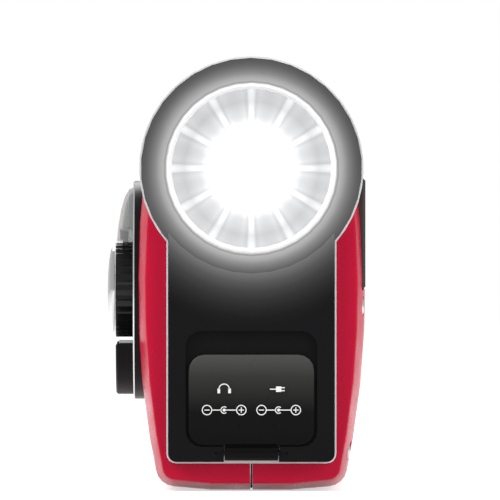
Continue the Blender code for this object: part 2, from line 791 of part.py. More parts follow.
def front_shell():
    """The red front half, with the openings of the dial, speaker and column, and its posts."""
    half = shell(-1)
    board_front = BOARD_Y - BOARD_THICKNESS - FIT_GAP
    posts = [wall_post(-1, x, height, POST_RADIUS, board_front) for x, height in board_post_places()]
    for x, height in screw_places():
        posts.append(wall_post(-1, x, height, SCREW_POST_RADIUS, -SEAM_GAP * HALF))
    seat = turned("Y", speaker_seat_profile(), (SPEAKER_X, 0, SPEAKER_HEIGHT), ROUND_STEPS, closed=True)
    join(half, seat, *posts)
    face = -CASE_DEPTH
    span = CASE_DEPTH - CASE_HALF_DEPTH * HALF
    holes = [lamp_clearance(), tail_clearance(), bay_clearance()]
    trim = DIAL_RADIUS + FIT_GAP + TRIM_WIDTH + FIT_GAP
    holes.append(rod("Y", trim, face, span, dial_at(), FINE_STEPS))
    holes.append(rod("Y", SPEAKER_RADIUS + FIT_GAP, face, span, (SPEAKER_X, 0, SPEAKER_HEIGHT), FINE_STEPS))
    holes.append(rod("Y", SHAFT_RADIUS + RUN_GAP, face, span, (COLUMN_X, 0, VOLUME_HEIGHT)))
    holes.append(rod("Y", ALERT_RADIUS + RUN_GAP, face, span, (COLUMN_X, 0, ALERT_HEIGHT), ROUND_STEPS))
    slot_x = (SWITCH_LENGTH + SWITCH_TRAVEL) * HALF + RUN_GAP
    slot_z = SWITCH_WIDTH * HALF + RUN_GAP
    holes.append(block((COLUMN_X - slot_x, face, SWITCH_HEIGHT - slot_z),
                       (COLUMN_X + slot_x, face + span, SWITCH_HEIGHT + slot_z)))
    holes.append(plate("Y", light_outline(FIT_GAP), span, (0, face, 0)))
    for x, height in screw_places():
        holes.append(rod("Y", SCREW_SHANK_RADIUS + FIT_GAP, -SCREW_LENGTH, CASE_HALF_DEPTH,
                         (x, 0, height), TINY_STEPS))
    cut(half, *holes)
    return as_part(half, "front_shell", "red_plastic")


def rear_shell():
    """The red back half, with the openings of the crank dish, battery door and antenna mount."""
    half = shell(1)
    posts = [wall_post(1, x, height, SCREW_POST_RADIUS, SEAM_GAP * HALF) for x, height in screw_places()]
    join(half, *posts)
    face = CASE_DEPTH
    holes = [lamp_clearance(), tail_clearance(), bay_clearance()]
    holes.append(rod("Y", DISH_RADIUS + FIT_GAP, CRANK_FLOOR_Y, face, (CRANK_X, 0, CRANK_HEIGHT), FINE_STEPS))
    holes.append(door_block(FIT_GAP, CRANK_FLOOR_Y, face))
    holes.append(mount_block(FIT_GAP, face))
    for x, height in screw_places():
        head_seat = side_y(height) - end_inset(x) - SCREW_HEAD_THICKNESS - FIT_GAP
        holes.append(rod("Y", SCREW_SHANK_RADIUS + FIT_GAP, -SCREW_LENGTH, face, (x, 0, height), TINY_STEPS))
        holes.append(rod("Y", SCREW_HEAD_RADIUS + FIT_GAP, head_seat - FIT_GAP, face, (x, 0, height)))
    cut(half, *holes)
    return as_part(half, "rear_shell", "red_plastic")


def screws():
    """The four case screws, each a pan head on a plain shank."""
    for number, (x, height) in enumerate(screw_places(), 1):
        face = side_y(height) - end_inset(x)
        seat = face - SCREW_HEAD_THICKNESS
        tip = CUT_OVERRUN - SCREW_LENGTH
        profile = [(0, face), (SCREW_HEAD_RADIUS, face), (SCREW_HEAD_RADIUS, seat), (SCREW_SHANK_RADIUS, seat),
                   (SCREW_SHANK_RADIUS, tip), (0, tip)]
        as_part(turned("Y", profile, (x, 0, height), TINY_STEPS), f"case_screw_{number}", "steel")


def keyhole(margin):
    """The cap's outline, panel and ring together, grown by a margin, as (y, height) points."""
    radius = RING_RADIUS + margin
    half = PANEL_WIDTH * HALF + margin
    low = PANEL_BOTTOM - margin
    lean = math.asin(half / radius)
    round_part = arc(radius, -math.pi * HALF + lean, math.tau - math.pi * HALF - lean, FINE_STEPS, (0, LAMP_HEIGHT))
    corner = PANEL_CORNER_RADIUS + margin
    left, right = (-half, low), (half, low)
    bottom = round_corner(round_part[-1], left, right, corner, CORNER_STEPS)
    bottom += round_corner(left, right, round_part[0], corner, CORNER_STEPS)
    return round_part + bottom


def cap_gasket():
    """The white seal between the cap and the case, which shows as a thin line round the cap."""
    margin = BAY_WALL + FIT_GAP
    reach = BAY_WIDTH * HALF + margin
    bay = [(-reach, BAY_BOTTOM - margin), (reach, BAY_BOTTOM - margin),
           (reach, BAY_TOP + margin), (-reach, BAY_TOP + margin)]
    barrel = circle(LAMP_BARREL_RADIUS + FIT_GAP, FINE_STEPS, (0, LAMP_HEIGHT))
    seal = plate("X", keyhole(GASKET_MARGIN), GASKET_THICKNESS, (CASE_END + FIT_GAP, 0, 0), [bay, barrel])
    return as_part(seal, "cap_gasket", "seal_white")


def lamp_seats():
    """Heights of the lens stack, counted from the ring's back: ring, lens, reflector flange, LED."""
    ring_back = RING_DEPTH - LENS_RING_DEPTH
    lens_back = ring_back - FIT_GAP - LENS_THICKNESS
    flange_front = lens_back - FIT_GAP
    throat = flange_front - REFLECTOR_DEPTH
    return ring_back, lens_back, flange_front, throat


def lamp_housing():
    """Ring and barrel in one turned cup, with a boss at its back for the LED."""
    _, _, flange_front, throat = lamp_seats()
    inner = LENS_RING_OUTER + FIT_GAP
    step = flange_front - REFLECTOR_FLANGE - FIT_GAP
    cavity = LAMP_BARREL_RADIUS - LAMP_WALL - SINK
    shelf = REFLECTOR_RIM + FIT_GAP
    boss_top = throat - LED_BASE_THICKNESS - FIT_GAP - FIT_GAP
    floor = -LAMP_BARREL_LENGTH - LAMP_WALL
    profile = [(0, boss_top), (LED_BASE_RADIUS, boss_top), (LED_BASE_RADIUS, floor), (cavity, floor)]
    profile += [(cavity, step - SINK * 2), (shelf, step - SINK), (shelf, step), (inner, step)]
    profile += [(inner, RING_DEPTH - SINK * HALF), (inner + SINK * HALF, RING_DEPTH)]
    profile += [(inner + RING_LIP_WIDTH, RING_DEPTH)]
    start = (inner + RING_LIP_WIDTH, RING_DEPTH)
    end = (RING_RADIUS - SINK, RING_EDGE_DEPTH)
    for i in range(1, DOME_STEPS):
        share = i / DOME_STEPS
        sag = math.sin(math.pi * share) * SINK
        profile.append((start[0] + (end[0] - start[0]) * share,
                        start[1] + (end[1] - start[1]) * share + sag))
    profile += [end, (RING_RADIUS, RING_SIDE_DEPTH), (RING_RADIUS, 0)]
    profile += [(LAMP_BARREL_RADIUS, 0)] + lamp_outline()
    return turned("X", profile, (CAP_BACK, 0, LAMP_HEIGHT), FINE_STEPS)


def panel_outline():
    """The lower panel, whose hollow top edge ends inside the ring's own band."""
    half = PANEL_WIDTH * HALF
    bite = LENS_RING_OUTER + RING_LIP_WIDTH + SINK * 2
    lean = math.asin(half / bite)
    top = arc(bite, -math.pi * HALF + lean, -math.pi * HALF - lean, SMALL_STEPS, (0, LAMP_HEIGHT))
    left, right = (-half, PANEL_BOTTOM), (half, PANEL_BOTTOM)
    bottom = round_corner(top[-1], left, right, PANEL_CORNER_RADIUS, CORNER_STEPS)
    bottom += round_corner(left, right, top[0], PANEL_CORNER_RADIUS, CORNER_STEPS)
    return top + bottom


def bevel_front_edges(item, front, width):
    """Chamfer only the outer edges of a plate's front face, below its hollow top edge."""
    mesh = item.data
    weights = mesh.attributes.new("bevel_weight_edge", "FLOAT", "EDGE")
    limit = LAMP_HEIGHT - item.location.z
    bite = LENS_RING_OUTER + RING_LIP_WIDTH + SINK * 3
    for edge in mesh.edges:
        ends = [mesh.vertices[i].co for i in edge.vertices]
        on_front = all(point.x + item.location.x > front - SINK * HALF for point in ends)
        outside = any(math.hypot(point.y, point.z - limit) > bite for point in ends)
        is_rim = not all(abs(point.y) < SINK for point in ends)
        faces = [face for face in mesh.polygons if set(edge.vertices) <= set(face.vertices)]
        flat = all(abs(face.normal.x) > HALF for face in faces)
        weights.data[edge.index].value = 1.0 if on_front and outside and is_rim and not flat else 0.0
    bevel = item.modifiers.new("Bevel", "BEVEL")
    bevel.width = width
    bevel.segments = 2
    bevel.limit_method = "WEIGHT"
    return item


def end_cap():
    """The black keyhole cap: ring, lamp housing, panel, port recess, bay walls and hinge notch."""
    cap = lamp_housing()
    panel = plate("X", panel_outline(), PANEL_THICKNESS, (CAP_BACK, 0, 0))
    bevel_front_edges(panel, PANEL_FRONT, PANEL_BEVEL)
    reach = BAY_WIDTH * HALF + BAY_WALL
    bay = block((CAP_BACK - BAY_DEPTH, -reach, BAY_BOTTOM - BAY_WALL),
                (CAP_BACK + RECESS_FLOOR * HALF, reach, BAY_TOP + BAY_WALL))
    join(cap, panel, bay)
    recess_half = COVER_WIDTH * HALF + COVER_MARGIN
    outline = rounded_box((-recess_half, COVER_BOTTOM - HINGE_RECESS_MARGIN), (recess_half, SCOOP_TOP),
                          COVER_CORNER_RADIUS)
    recess = plate("X", outline, PANEL_THICKNESS, (CAP_BACK + RECESS_FLOOR, 0, 0))
    inner = BAY_WIDTH * HALF
    hollow = block((CAP_BACK - BAY_DEPTH + BAY_WALL, -inner, BAY_BOTTOM), (PANEL_FRONT, inner, BAY_TOP))
    tab = HINGE_TAB_WIDTH * HALF + RUN_GAP
    notch = block((CAP_BACK - CUT_OVERRUN, -tab, PANEL_BOTTOM - CUT_OVERRUN),
                  (RING_FRONT, tab, COVER_BOTTOM + RUN_GAP))
    holes = [recess, hollow, notch]
    holes.append(rod("Y", HINGE_PIN_RADIUS + FIT_GAP, -HINGE_PIN_LENGTH * HALF - FIT_GAP,
                     HINGE_PIN_LENGTH + FIT_GAP * 2, (hinge_x(), 0, HINGE_HEIGHT), TINY_STEPS))
    for sign in (-1, 1):
        holes.append(rod("X", JACK_SNOUT_RADIUS + FIT_GAP, CAP_BACK - BAY_DEPTH - CUT_OVERRUN, CUT_OVERRUN * 2,
                         (0, sign * JACK_SPACING * HALF, JACK_HEIGHT)))
    cut(cap, *holes)
    return as_part(cap, "end_cap", "black_gloss")


def hinge_x():
    """Station of the cover's hinge pin: its barrel clears the gasket behind it."""
    return CAP_BACK + HINGE_RADIUS + RUN_GAP


def port_cover(axis):
    """The cover over the jacks: a round cornered plate with a hinge barrel below it."""
    half = COVER_WIDTH * HALF
    back = CAP_BACK + RECESS_FLOOR + FIT_GAP
    cover = plate("X", rounded_box((-half, COVER_BOTTOM), (half, COVER_TOP), COVER_CORNER_RADIUS),
                  COVER_THICKNESS, (back, 0, 0))
    soften(cover, COVER_EDGE_RADIUS, 1)
    tab = HINGE_TAB_WIDTH * HALF
    barrel = rod("Y", HINGE_RADIUS, -tab, tab * 2, (hinge_x(), 0, HINGE_HEIGHT), ROUND_STEPS)
    arm = block((back + SINK * HALF, -tab + SINK * HALF, HINGE_HEIGHT),
                (back + COVER_THICKNESS - SINK, tab - SINK * HALF, COVER_BOTTOM + SINK))
    join(cover, barrel, arm)
    cut(cover, rod("Y", HINGE_PIN_RADIUS + RUN_GAP, -half, half * 2, (hinge_x(), 0, HINGE_HEIGHT), TINY_STEPS))
    as_part(cover, "port_cover", "black_gloss")
    return place(cover, cover.location.copy(), axis)


def cover_pin():
    """The steel pin that the cover turns on."""
    pin = rod("Y", HINGE_PIN_RADIUS, -HINGE_PIN_LENGTH * HALF, HINGE_PIN_LENGTH,
              (hinge_x(), 0, HINGE_HEIGHT), TINY_STEPS)
    return as_part(pin, "cover_pin", "steel")


def jack(name, sign, bore, pin):
    """A coaxial jack behind the bay's floor: a block, a snout through the floor, a bore and its pin."""
    y = sign * JACK_SPACING * HALF
    floor = CAP_BACK - BAY_DEPTH
    back = floor - FIT_GAP - JACK_LENGTH
    half = JACK_WIDTH * HALF
    body = block((back, y - half, JACK_HEIGHT - half), (floor - FIT_GAP, y + half, JACK_HEIGHT + half))
    join(body, rod("X", JACK_SNOUT_RADIUS, back + SINK, JACK_LENGTH + JACK_SNOUT_LENGTH,
                   (0, y, JACK_HEIGHT), SMALL_STEPS))
    cut(body, turned("X", [(pin, back + SINK * 2), (bore, back + SINK * 2),
                           (bore, CAP_BACK), (pin, CAP_BACK)], (0, y, JACK_HEIGHT), SMALL_STEPS, closed=True))
    return as_part(body, name, "black_matte")


def lens_stack():
    """The bright lens ring, the clear lens, the faceted reflector and the LED."""
    at = (CAP_BACK, 0, LAMP_HEIGHT)
    ring_back, lens_back, flange_front, throat = lamp_seats()
    ring = turned("X", [(LENS_RING_INNER, ring_back), (LENS_RING_OUTER, ring_back),
                        (LENS_RING_OUTER, RING_DEPTH - SINK * HALF), (LENS_RING_OUTER - SINK, RING_DEPTH),
                        (LENS_RING_INNER, RING_DEPTH - SINK)], at, FINE_STEPS, closed=True)
    as_part(ring, "lens_ring", "chrome")
    lens_edge = LENS_RING_OUTER - FIT_GAP
    visible = LENS_RING_INNER - FIT_GAP
    front = [(0, lens_back + LENS_THICKNESS + LENS_CROWN), (visible * HALF, lens_back + LENS_THICKNESS
             + LENS_CROWN * LENS_SHOULDER_SHARE), (visible, lens_back + LENS_THICKNESS),
                    (lens_edge, lens_back + LENS_THICKNESS)]
    lens = turned("X", front + [(lens_edge, lens_back), (0, lens_back)], at, FINE_STEPS)
    as_part(lens, "lens", "clear_plastic")
    inner, outer = reflector_curves(flange_front, throat)
    flange = [(LENS_RING_OUTER - FIT_GAP, flange_front), (LENS_RING_OUTER - FIT_GAP, flange_front - REFLECTOR_FLANGE)]
    reflector = turned("X", inner + flange + outer, at, REFLECTOR_FACETS, closed=True)
    as_part(reflector, "reflector", "reflector_silver")
    base = throat - FIT_GAP
    low = base - LED_BASE_THICKNESS
    dome = [(LED_DOME_RADIUS * math.cos(a), base + LED_DOME_RADIUS * math.sin(a))
            for a in (math.pi * HALF, math.pi / 3, math.pi / 6, 0)]
    dome[0] = (0, base + LED_DOME_RADIUS)
    led = turned("X", dome + [(LED_BASE_RADIUS - FIT_GAP, base), (LED_BASE_RADIUS - FIT_GAP, low), (0, low)],
                 at, TINY_STEPS * 2)
    as_part(led, "lamp_led", "led_white")


REFLECTOR_RIM = LENS_RING_INNER


def reflector_curves(front, throat):
    """Inner and outer faces of the bowl: a parabola from the throat out to the rim."""
    inner = []
    for i in range(REFLECTOR_RINGS + 1):
        share = i / REFLECTOR_RINGS
        radius = REFLECTOR_THROAT + (REFLECTOR_RIM - REFLECTOR_THROAT) * share
        lift = (radius**2 - REFLECTOR_THROAT**2) / (REFLECTOR_RIM**2 - REFLECTOR_THROAT**2)
        inner.append((radius, throat + (front - throat) * lift))
    outer = [(radius + REFLECTOR_WALL * share_out, height - REFLECTOR_WALL * (1 - share_out))
             for (radius, height), share_out in zip(inner, reflector_lean())]
    outer = [(min(radius, REFLECTOR_RIM), height) for radius, height in outer]
    outer[-1] = (REFLECTOR_RIM, front - REFLECTOR_FLANGE)
    outer[0] = (REFLECTOR_THROAT, throat)
    return inner, outer[:0:-1]


def reflector_lean():
    """How far the bowl's wall leans outwards at each ring, from floor to rim."""
    return [i / REFLECTOR_RINGS * HALF for i in range(REFLECTOR_RINGS + 1)]


def tail_head():
    """The black round head at the tail end, which holds the siren behind slots."""
    outline = tail_outline()
    inner = TAIL_RADIUS - TAIL_WALL
    floor = TAIL_WALL + SINK
    profile = [(0, 0), (TAIL_RADIUS - TAIL_EDGE_RADIUS, 0), (TAIL_RADIUS, TAIL_EDGE_RADIUS)] + outline
    head = turned("X", profile, (-TAIL_END, 0, TAIL_HEIGHT), FINE_STEPS)
    hollow = rod("X", inner, floor - TAIL_END, TAIL_BARREL_LENGTH - floor, (0, 0, TAIL_HEIGHT), ROUND_STEPS)
    slots = []
    for i in range(TAIL_SLOT_COUNT):
        row = (i - (TAIL_SLOT_COUNT - 1) * HALF) * TAIL_SLOT_PITCH
        half = math.sqrt((TAIL_SLOT_LENGTH * HALF) ** 2 - row**2)
        low = TAIL_HEIGHT + row - TAIL_SLOT_WIDTH * HALF
        slots.append(block((-TAIL_END - CUT_OVERRUN, -half, low),
                           (floor - TAIL_END + SINK, half, low + TAIL_SLOT_WIDTH)))
    cut(head, hollow, *slots)
    return as_part(head, "tail_head", "black_gloss")


def siren_speaker():
    """The siren's sounder, seated on the inside of the tail head's slotted face."""
    start = TAIL_WALL + SINK + FIT_GAP - TAIL_END
    sounder = rod("X", SIREN_RADIUS, start, SIREN_DEPTH, (0, 0, TAIL_HEIGHT), ROUND_STEPS)
    rim = rod("X", TAIL_RADIUS - TAIL_WALL - FIT_GAP, start + SIREN_DEPTH - SINK * 2, SINK * 2,
              (0, 0, TAIL_HEIGHT), ROUND_STEPS)
    join(sounder, rim)
    return as_part(sounder, "siren_speaker", "black_matte")


def handle_section(skin, edge):
    """The handle's cross section, grown by a skin, as (y, height) points."""
    half = HANDLE_WIDTH * HALF + skin
    return rounded_box((-half, HANDLE_BOTTOM - skin), (half, HANDLE_BOTTOM + HANDLE_THICKNESS + skin), edge, 3)


def carry_handle():
    """The fixed bar between the two round heads, shaped at its ends to seat on their domes."""
    start = -TAIL_END + TAIL_BARREL_LENGTH
    end = CAP_BACK - LAMP_BARREL_LENGTH + SINK
    bar = plate("X", handle_section(0, HANDLE_EDGE_RADIUS), end - start, (start, 0, 0))
    cut(bar, lamp_clearance(), tail_clearance())
    return as_part(bar, "carry_handle", "black_gloss")


def handle_grip():
    """The ribbed rubber sleeve round the middle of the bar."""
    start = (CAP_BACK - LAMP_BARREL_LENGTH - TAIL_END + TAIL_BARREL_LENGTH) * HALF - GRIP_LENGTH * HALF
    pitch = GRIP_LENGTH / (GRIP_RIB_COUNT * 2 + 1)
    edge = HANDLE_EDGE_RADIUS
    rings = []
    for i in range(GRIP_RIB_COUNT * 2 + 1):
        skin = GRIP_SKIN if i % 2 == 0 else GRIP_SKIN - GRIP_RIB_DEPTH
        for x in (start + pitch * i, start + pitch * (i + 1)):
            if not rings or abs(x - rings[-1][0]) > MERGE_DISTANCE or skin != rings[-1][1]:
                rings.append((x, skin))
    shaped = []
    for i, (x, skin) in enumerate(rings):
        nudge = 0
        if 0 < i < len(rings) - 1:
            nudge = pitch / 8 if i % 2 == 0 else -pitch / 8
        shaped.append([(x + nudge, y, z) for y, z in handle_section(skin, edge + skin)])
    sleeve = loft(shaped)
    bore = plate("X", handle_section(FIT_GAP, edge + FIT_GAP), GRIP_LENGTH + CUT_OVERRUN * 2,
                 (start - CUT_OVERRUN, 0, 0))
    cut(sleeve, bore)
    return as_part(sleeve, "handle_grip", "rubber")


def dial_at(height=0):
    """The dial's centre, at a height above it."""
    return (DIAL_X, 0, DIAL_HEIGHT + height)


def ring_sector(inner, outer, middle, half_angle, steps):
    """A flat ring's sector round the dial's centre, as (x, height) points."""
    centre = (DIAL_X, DIAL_HEIGHT)
    points = arc(outer, middle - half_angle, middle + half_angle, steps, centre)
    return points + arc(inner, middle + half_angle, middle - half_angle, steps, centre)


def dial_pod():
    """The round black pod: its floor and rim, and the raised block below the knob."""
    depth = DIAL_DEPTH
    profile = [(0, DIAL_FLOOR_Y), (DIAL_RADIUS - DIAL_RIM, DIAL_FLOOR_Y), (DIAL_RADIUS - DIAL_RIM, DIAL_FACE_Y),
               (DIAL_RADIUS, DIAL_FACE_Y), (DIAL_RADIUS, DIAL_FACE_Y + depth), (0, DIAL_FACE_Y + depth)]
    pod = turned("Y", profile, dial_at(), FINE_STEPS)
    low = -math.pi * HALF
    top = -POD_BLOCK_TOP
    spread = math.acos(POD_BLOCK_TOP / DIAL_RADIUS)
    centre = (DIAL_X, DIAL_HEIGHT)
    outline = arc(DIAL_RADIUS, low - spread, low + spread, SMALL_STEPS, centre)
    bite = math.acos(POD_BLOCK_TOP / POD_BLOCK_INNER)
    outline += arc(POD_BLOCK_INNER, low + bite, low - bite, SMALL_STEPS, centre)
    thickness = POD_BLOCK_PROUD + DIAL_FLOOR_DEPTH + SINK
    raised = plate("Y", outline, thickness, (0, DIAL_FACE_Y - POD_BLOCK_PROUD, 0))
    soften(raised, POD_BLOCK_CHAMFER, 1)
    join(pod, raised)
    cut(pod, rod("Y", SHAFT_RADIUS + RUN_GAP, DIAL_FACE_Y, depth * 2, dial_at()))
    return as_part(pod, "dial_pod", "black_gloss")


def dial_trim():
    """The silver ring round the pod, let into the front shell."""
    inner = DIAL_RADIUS + FIT_GAP
    outer = inner + TRIM_WIDTH
    front = DIAL_FACE_Y - TRIM_PROUD
    profile = [(inner, front), (outer - SINK * HALF, front), (outer, front + SINK * HALF),
               (outer, DIAL_FACE_Y + TRIM_DEPTH), (inner, DIAL_FACE_Y + TRIM_DEPTH)]
    return as_part(turned("Y", profile, dial_at(), FINE_STEPS, closed=True), "dial_trim", "chrome")


def dial_plate():
    """The printed scale disc on the pod's floor, with a flat lower edge above the raised block."""
    radius = DIAL_RADIUS - DIAL_RIM - FIT_GAP
    chord = POD_BLOCK_TOP - SINK
    lean = math.asin(chord / radius)
    outline = arc(radius, -lean, math.pi + lean, FINE_STEPS, (DIAL_X, DIAL_HEIGHT))
    hole = circle(SHAFT_RADIUS + RUN_GAP, SMALL_STEPS, (DIAL_X, DIAL_HEIGHT))
    disc = plate("Y", outline, DIAL_PLATE_THICKNESS, (0, DIAL_PLATE_FRONT_Y, 0), [hole])
    return as_part(disc, "dial_plate", "dial_print")


def window_profile(clearance):
    """The window dome's profile: from the rim's edge out to its front, as (radius, y) points."""
    points = []
    for i in range(WINDOW_STEPS + 1):
        angle = math.pi * HALF * i / WINDOW_STEPS
        radius = (DIAL_RADIUS - FIT_GAP - clearance) * math.cos(angle)
        points.append((radius, DIAL_FACE_Y - FIT_GAP - (WINDOW_PROUD - clearance) * math.sin(angle) ** WINDOW_SWELL))
    points[-1] = (0, points[-1][1])
    return points


def dial_window():
    """The half dome over the scale above the knob, with its thick sill and its thin visor."""
    back = DIAL_FACE_Y - FIT_GAP
    dome = turned("Y", window_profile(0) + [(0, back)], dial_at(), FINE_STEPS)
    hollow = turned("Y", window_profile(WINDOW_WALL) + [(0, back + CUT_OVERRUN), (DIAL_RADIUS - FIT_GAP - WINDOW_WALL,
                    back + CUT_OVERRUN)], dial_at(), FINE_STEPS)
    keep(hollow, block((DIAL_X - DIAL_RADIUS, -CASE_DEPTH, POD_SILL + WINDOW_SILL_THICKNESS),
                       (DIAL_X + DIAL_RADIUS, 0, CASE_LENGTH)))
    cut(dome, hollow)
    keep(dome, block((DIAL_X - CASE_DEPTH, -CASE_DEPTH, POD_SILL), (DIAL_X + CASE_DEPTH, 0, CASE_LENGTH)))
    slot_half = POINTER_REACH * math.sin(POINTER_SWEEP) + POINTER_WIDTH
    slot_top = POINTER_FRONT_Y - RUN_GAP
    cut(dome, block((DIAL_X - slot_half, slot_top, POD_SILL - CUT_OVERRUN),
                    (DIAL_X + slot_half, CUT_OVERRUN, POD_SILL + WINDOW_SILL_THICKNESS + CUT_OVERRUN)))
    return as_part(dome, "dial_window", "smoked_plastic")


POINTER_REACH = DIAL_RADIUS - DIAL_RIM - SINK * 2


def dial_pointer(axis):
    """The needle that sweeps the scale, on a hub round the knob's shaft."""
    half = POINTER_WIDTH * HALF
    lean = math.asin(half / POINTER_HUB_RADIUS)
    up = math.pi * HALF
    outline = arc(POINTER_HUB_RADIUS, up + lean, math.tau + up - lean, SMALL_STEPS, (DIAL_X, DIAL_HEIGHT))
    outline += [(DIAL_X + half, DIAL_HEIGHT + POINTER_REACH), (DIAL_X - half, DIAL_HEIGHT + POINTER_REACH)]
    bore = circle(SHAFT_RADIUS + RUN_GAP, TINY_STEPS, (DIAL_X, DIAL_HEIGHT))
    needle = plate("Y", outline, POINTER_THICKNESS, (0, POINTER_FRONT_Y, 0), [bore])
    as_part(needle, "dial_pointer", "pointer_red")
    return place(needle, needle.location.copy(), axis)


def ribbed_outline(radius, depth, ribs, centre):
    """A knob's outline with shallow ribs round it."""
    points = []
    for i in range(ribs * 2):
        angle = math.tau * i / (ribs * 2)
        reach = radius if i % 2 == 0 else radius - depth
        points.append((centre[0] + reach * math.cos(angle), centre[1] + reach * math.sin(angle)))
    return points


def tuning_knob(axis):
    """The ribbed drum, the shaft that it drives and the bright domed cap on its face."""
    centre = (DIAL_X, DIAL_HEIGHT)
    drum = plate("Y", ribbed_outline(KNOB_RADIUS, KNOB_RIB_DEPTH, KNOB_RIBS, centre), KNOB_THICKNESS,
                 (0, KNOB_FRONT_Y, 0))
    back = DIAL_FACE_Y + DIAL_DEPTH + CUT_OVERRUN
    join(drum, rod("Y", SHAFT_RADIUS, KNOB_BACK_Y - SINK, back - KNOB_BACK_Y + SINK, dial_at()))
    as_part(drum, "tuning_knob", "black_satin")
    place(drum, drum.location.copy(), axis)
    face = KNOB_CAP_BACK_Y
    lip = KNOB_CAP_CROWN * HALF * HALF
    profile = [(0, face)] + [(KNOB_CAP_RADIUS, face)]
    for i in range(DOME_STEPS):
        angle = math.pi * HALF * i / DOME_STEPS
        profile.append((KNOB_CAP_RADIUS * math.cos(angle), face - lip - (KNOB_CAP_CROWN - lip) * math.sin(angle)))
    profile.append((0, face - KNOB_CAP_CROWN))
    cap = turned("Y", profile, dial_at(), FINE_STEPS)
    as_part(cap, "knob_cap", "chrome")
    place(cap, dial_at(), axis)


def band_selector(axis):
    """The lever under the knob: a thin sector behind the drum with one bright tab."""
    low = -math.pi * HALF
    outline = ring_sector(POINTER_HUB_RADIUS + RUN_GAP * 2, SELECTOR_TAB_OUTER, low, SELECTOR_HALF_ANGLE, TINY_STEPS)
    sector = plate("Y", outline, SELECTOR_PLATE_THICKNESS, (0, POINTER_FRONT_Y, 0))
    tab_outline = ring_sector(SELECTOR_TAB_INNER, SELECTOR_TAB_OUTER, low, SELECTOR_TAB_HALF_ANGLE, TINY_STEPS // 2)
    tab_front = DIAL_FACE_Y - SELECTOR_TAB_PROUD
    tab = plate("Y", tab_outline, POINTER_BACK_Y - tab_front - SINK * HALF * HALF, (0, tab_front, 0))
    soften(tab, SINK, 2)
    join(sector, tab)
    as_part(sector, "band_selector", "chrome")
    return place(sector, sector.location.copy(), axis)


def tuning_capacitor():
    """The tuning capacitor behind the pod, bored for the knob's shaft."""
    half = CAPACITOR_SIDE * HALF
    front = DIAL_FACE_Y + DIAL_DEPTH + FIT_GAP
    back = BOARD_Y - BOARD_THICKNESS - FIT_GAP
    body = block((DIAL_X - half, front, DIAL_HEIGHT - half), (DIAL_X + half, back, DIAL_HEIGHT + half))
    cut(body, rod("Y", SHAFT_RADIUS + RUN_GAP, front - CUT_OVERRUN, CUT_OVERRUN * 3, dial_at()))
    return as_part(body, "tuning_capacitor", "black_matte")


def speaker_face():
    """Y of the speaker grille's front face."""
    return -CASE_HALF_DEPTH - GRILLE_THICKNESS * HALF


def speaker_seat_profile():
    """The ring inside the front shell that the speaker's grille and basket seat on."""
    outer = SPEAKER_RADIUS + FIT_GAP + CASE_WALL
    front = -side_y(SPEAKER_HEIGHT + SPEAKER_RADIUS) + CASE_WALL * HALF
    back = speaker_face() + GRILLE_DEPTH + GRILLE_FLANGE
    return [(SPEAKER_RADIUS - SINK, front), (outer, front), (outer, back), (SPEAKER_RADIUS - SINK, back)]


def speaker_grille():
    """The round black grille: rows of slots cut to the circle, and a skirt through the shell."""
    face = speaker_face()
    outer = SPEAKER_RADIUS
    inner = outer - GRILLE_FLANGE
    profile = [(0, face), (outer - SINK * HALF, face), (outer, face + SINK * HALF),
               (outer, face + GRILLE_DEPTH), (inner, face + GRILLE_DEPTH), (inner, face + GRILLE_THICKNESS),
               (0, face + GRILLE_THICKNESS)]
    grille = turned("Y", profile, (SPEAKER_X, 0, SPEAKER_HEIGHT), ROUND_STEPS + TINY_STEPS)
    slots = []
    reach = inner - GRILLE_SLOT_EDGE
    for i in range(GRILLE_SLOT_ROWS):
        row = (i - (GRILLE_SLOT_ROWS - 1) * HALF) * GRILLE_SLOT_PITCH
        half = math.sqrt(reach**2 - row**2)
        low = SPEAKER_HEIGHT + row - GRILLE_SLOT_WIDTH * HALF
        slots.append(block((SPEAKER_X - half, face - CUT_OVERRUN, low),
                           (SPEAKER_X + half, face + GRILLE_THICKNESS + SINK, low + GRILLE_SLOT_WIDTH)))
    cut(grille, *slots)
    return as_part(grille, "speaker_grille", "black_satin")


def speaker_unit():
    """Cone, basket and magnet behind the grille."""
    at = (SPEAKER_X, 0, SPEAKER_HEIGHT)
    front = speaker_face() + GRILLE_DEPTH + GRILLE_FLANGE + FIT_GAP
    rim = SPEAKER_RADIUS - SINK
    lip = rim - GRILLE_FLANGE * 2
    cone = [(CONE_THROAT, front + CONE_DEPTH), (lip, front), (rim, front), (rim, front + CONE_WALL),
            (lip, front + CONE_WALL), (CONE_THROAT, front + CONE_DEPTH + CONE_WALL),
            (0, front + CONE_DEPTH + CONE_WALL),
            (0, front + CONE_DEPTH - CONE_THROAT * HALF)]
    as_part(turned("Y", cone, at, ROUND_STEPS), "speaker_cone", "paper_black")
    back = front + BASKET_DEPTH
    wall = BASKET_WALL
    flange = rim + FIT_GAP
    basket = [(flange, front), (SPEAKER_RADIUS + CASE_WALL, front), (SPEAKER_RADIUS + CASE_WALL, front + wall),
              (flange + wall, front + wall), (MAGNET_RADIUS, back), (CONE_THROAT, back), (CONE_THROAT, back - wall),
              (MAGNET_RADIUS - wall, back - wall), (flange, front + wall + SINK * HALF)]
    frame = turned("Y", basket, at, ROUND_STEPS, closed=True)
    join(frame, rod("Y", MAGNET_RADIUS, back - wall * HALF, MAGNET_DEPTH, at, ROUND_STEPS))
    as_part(frame, "speaker_basket", "steel")


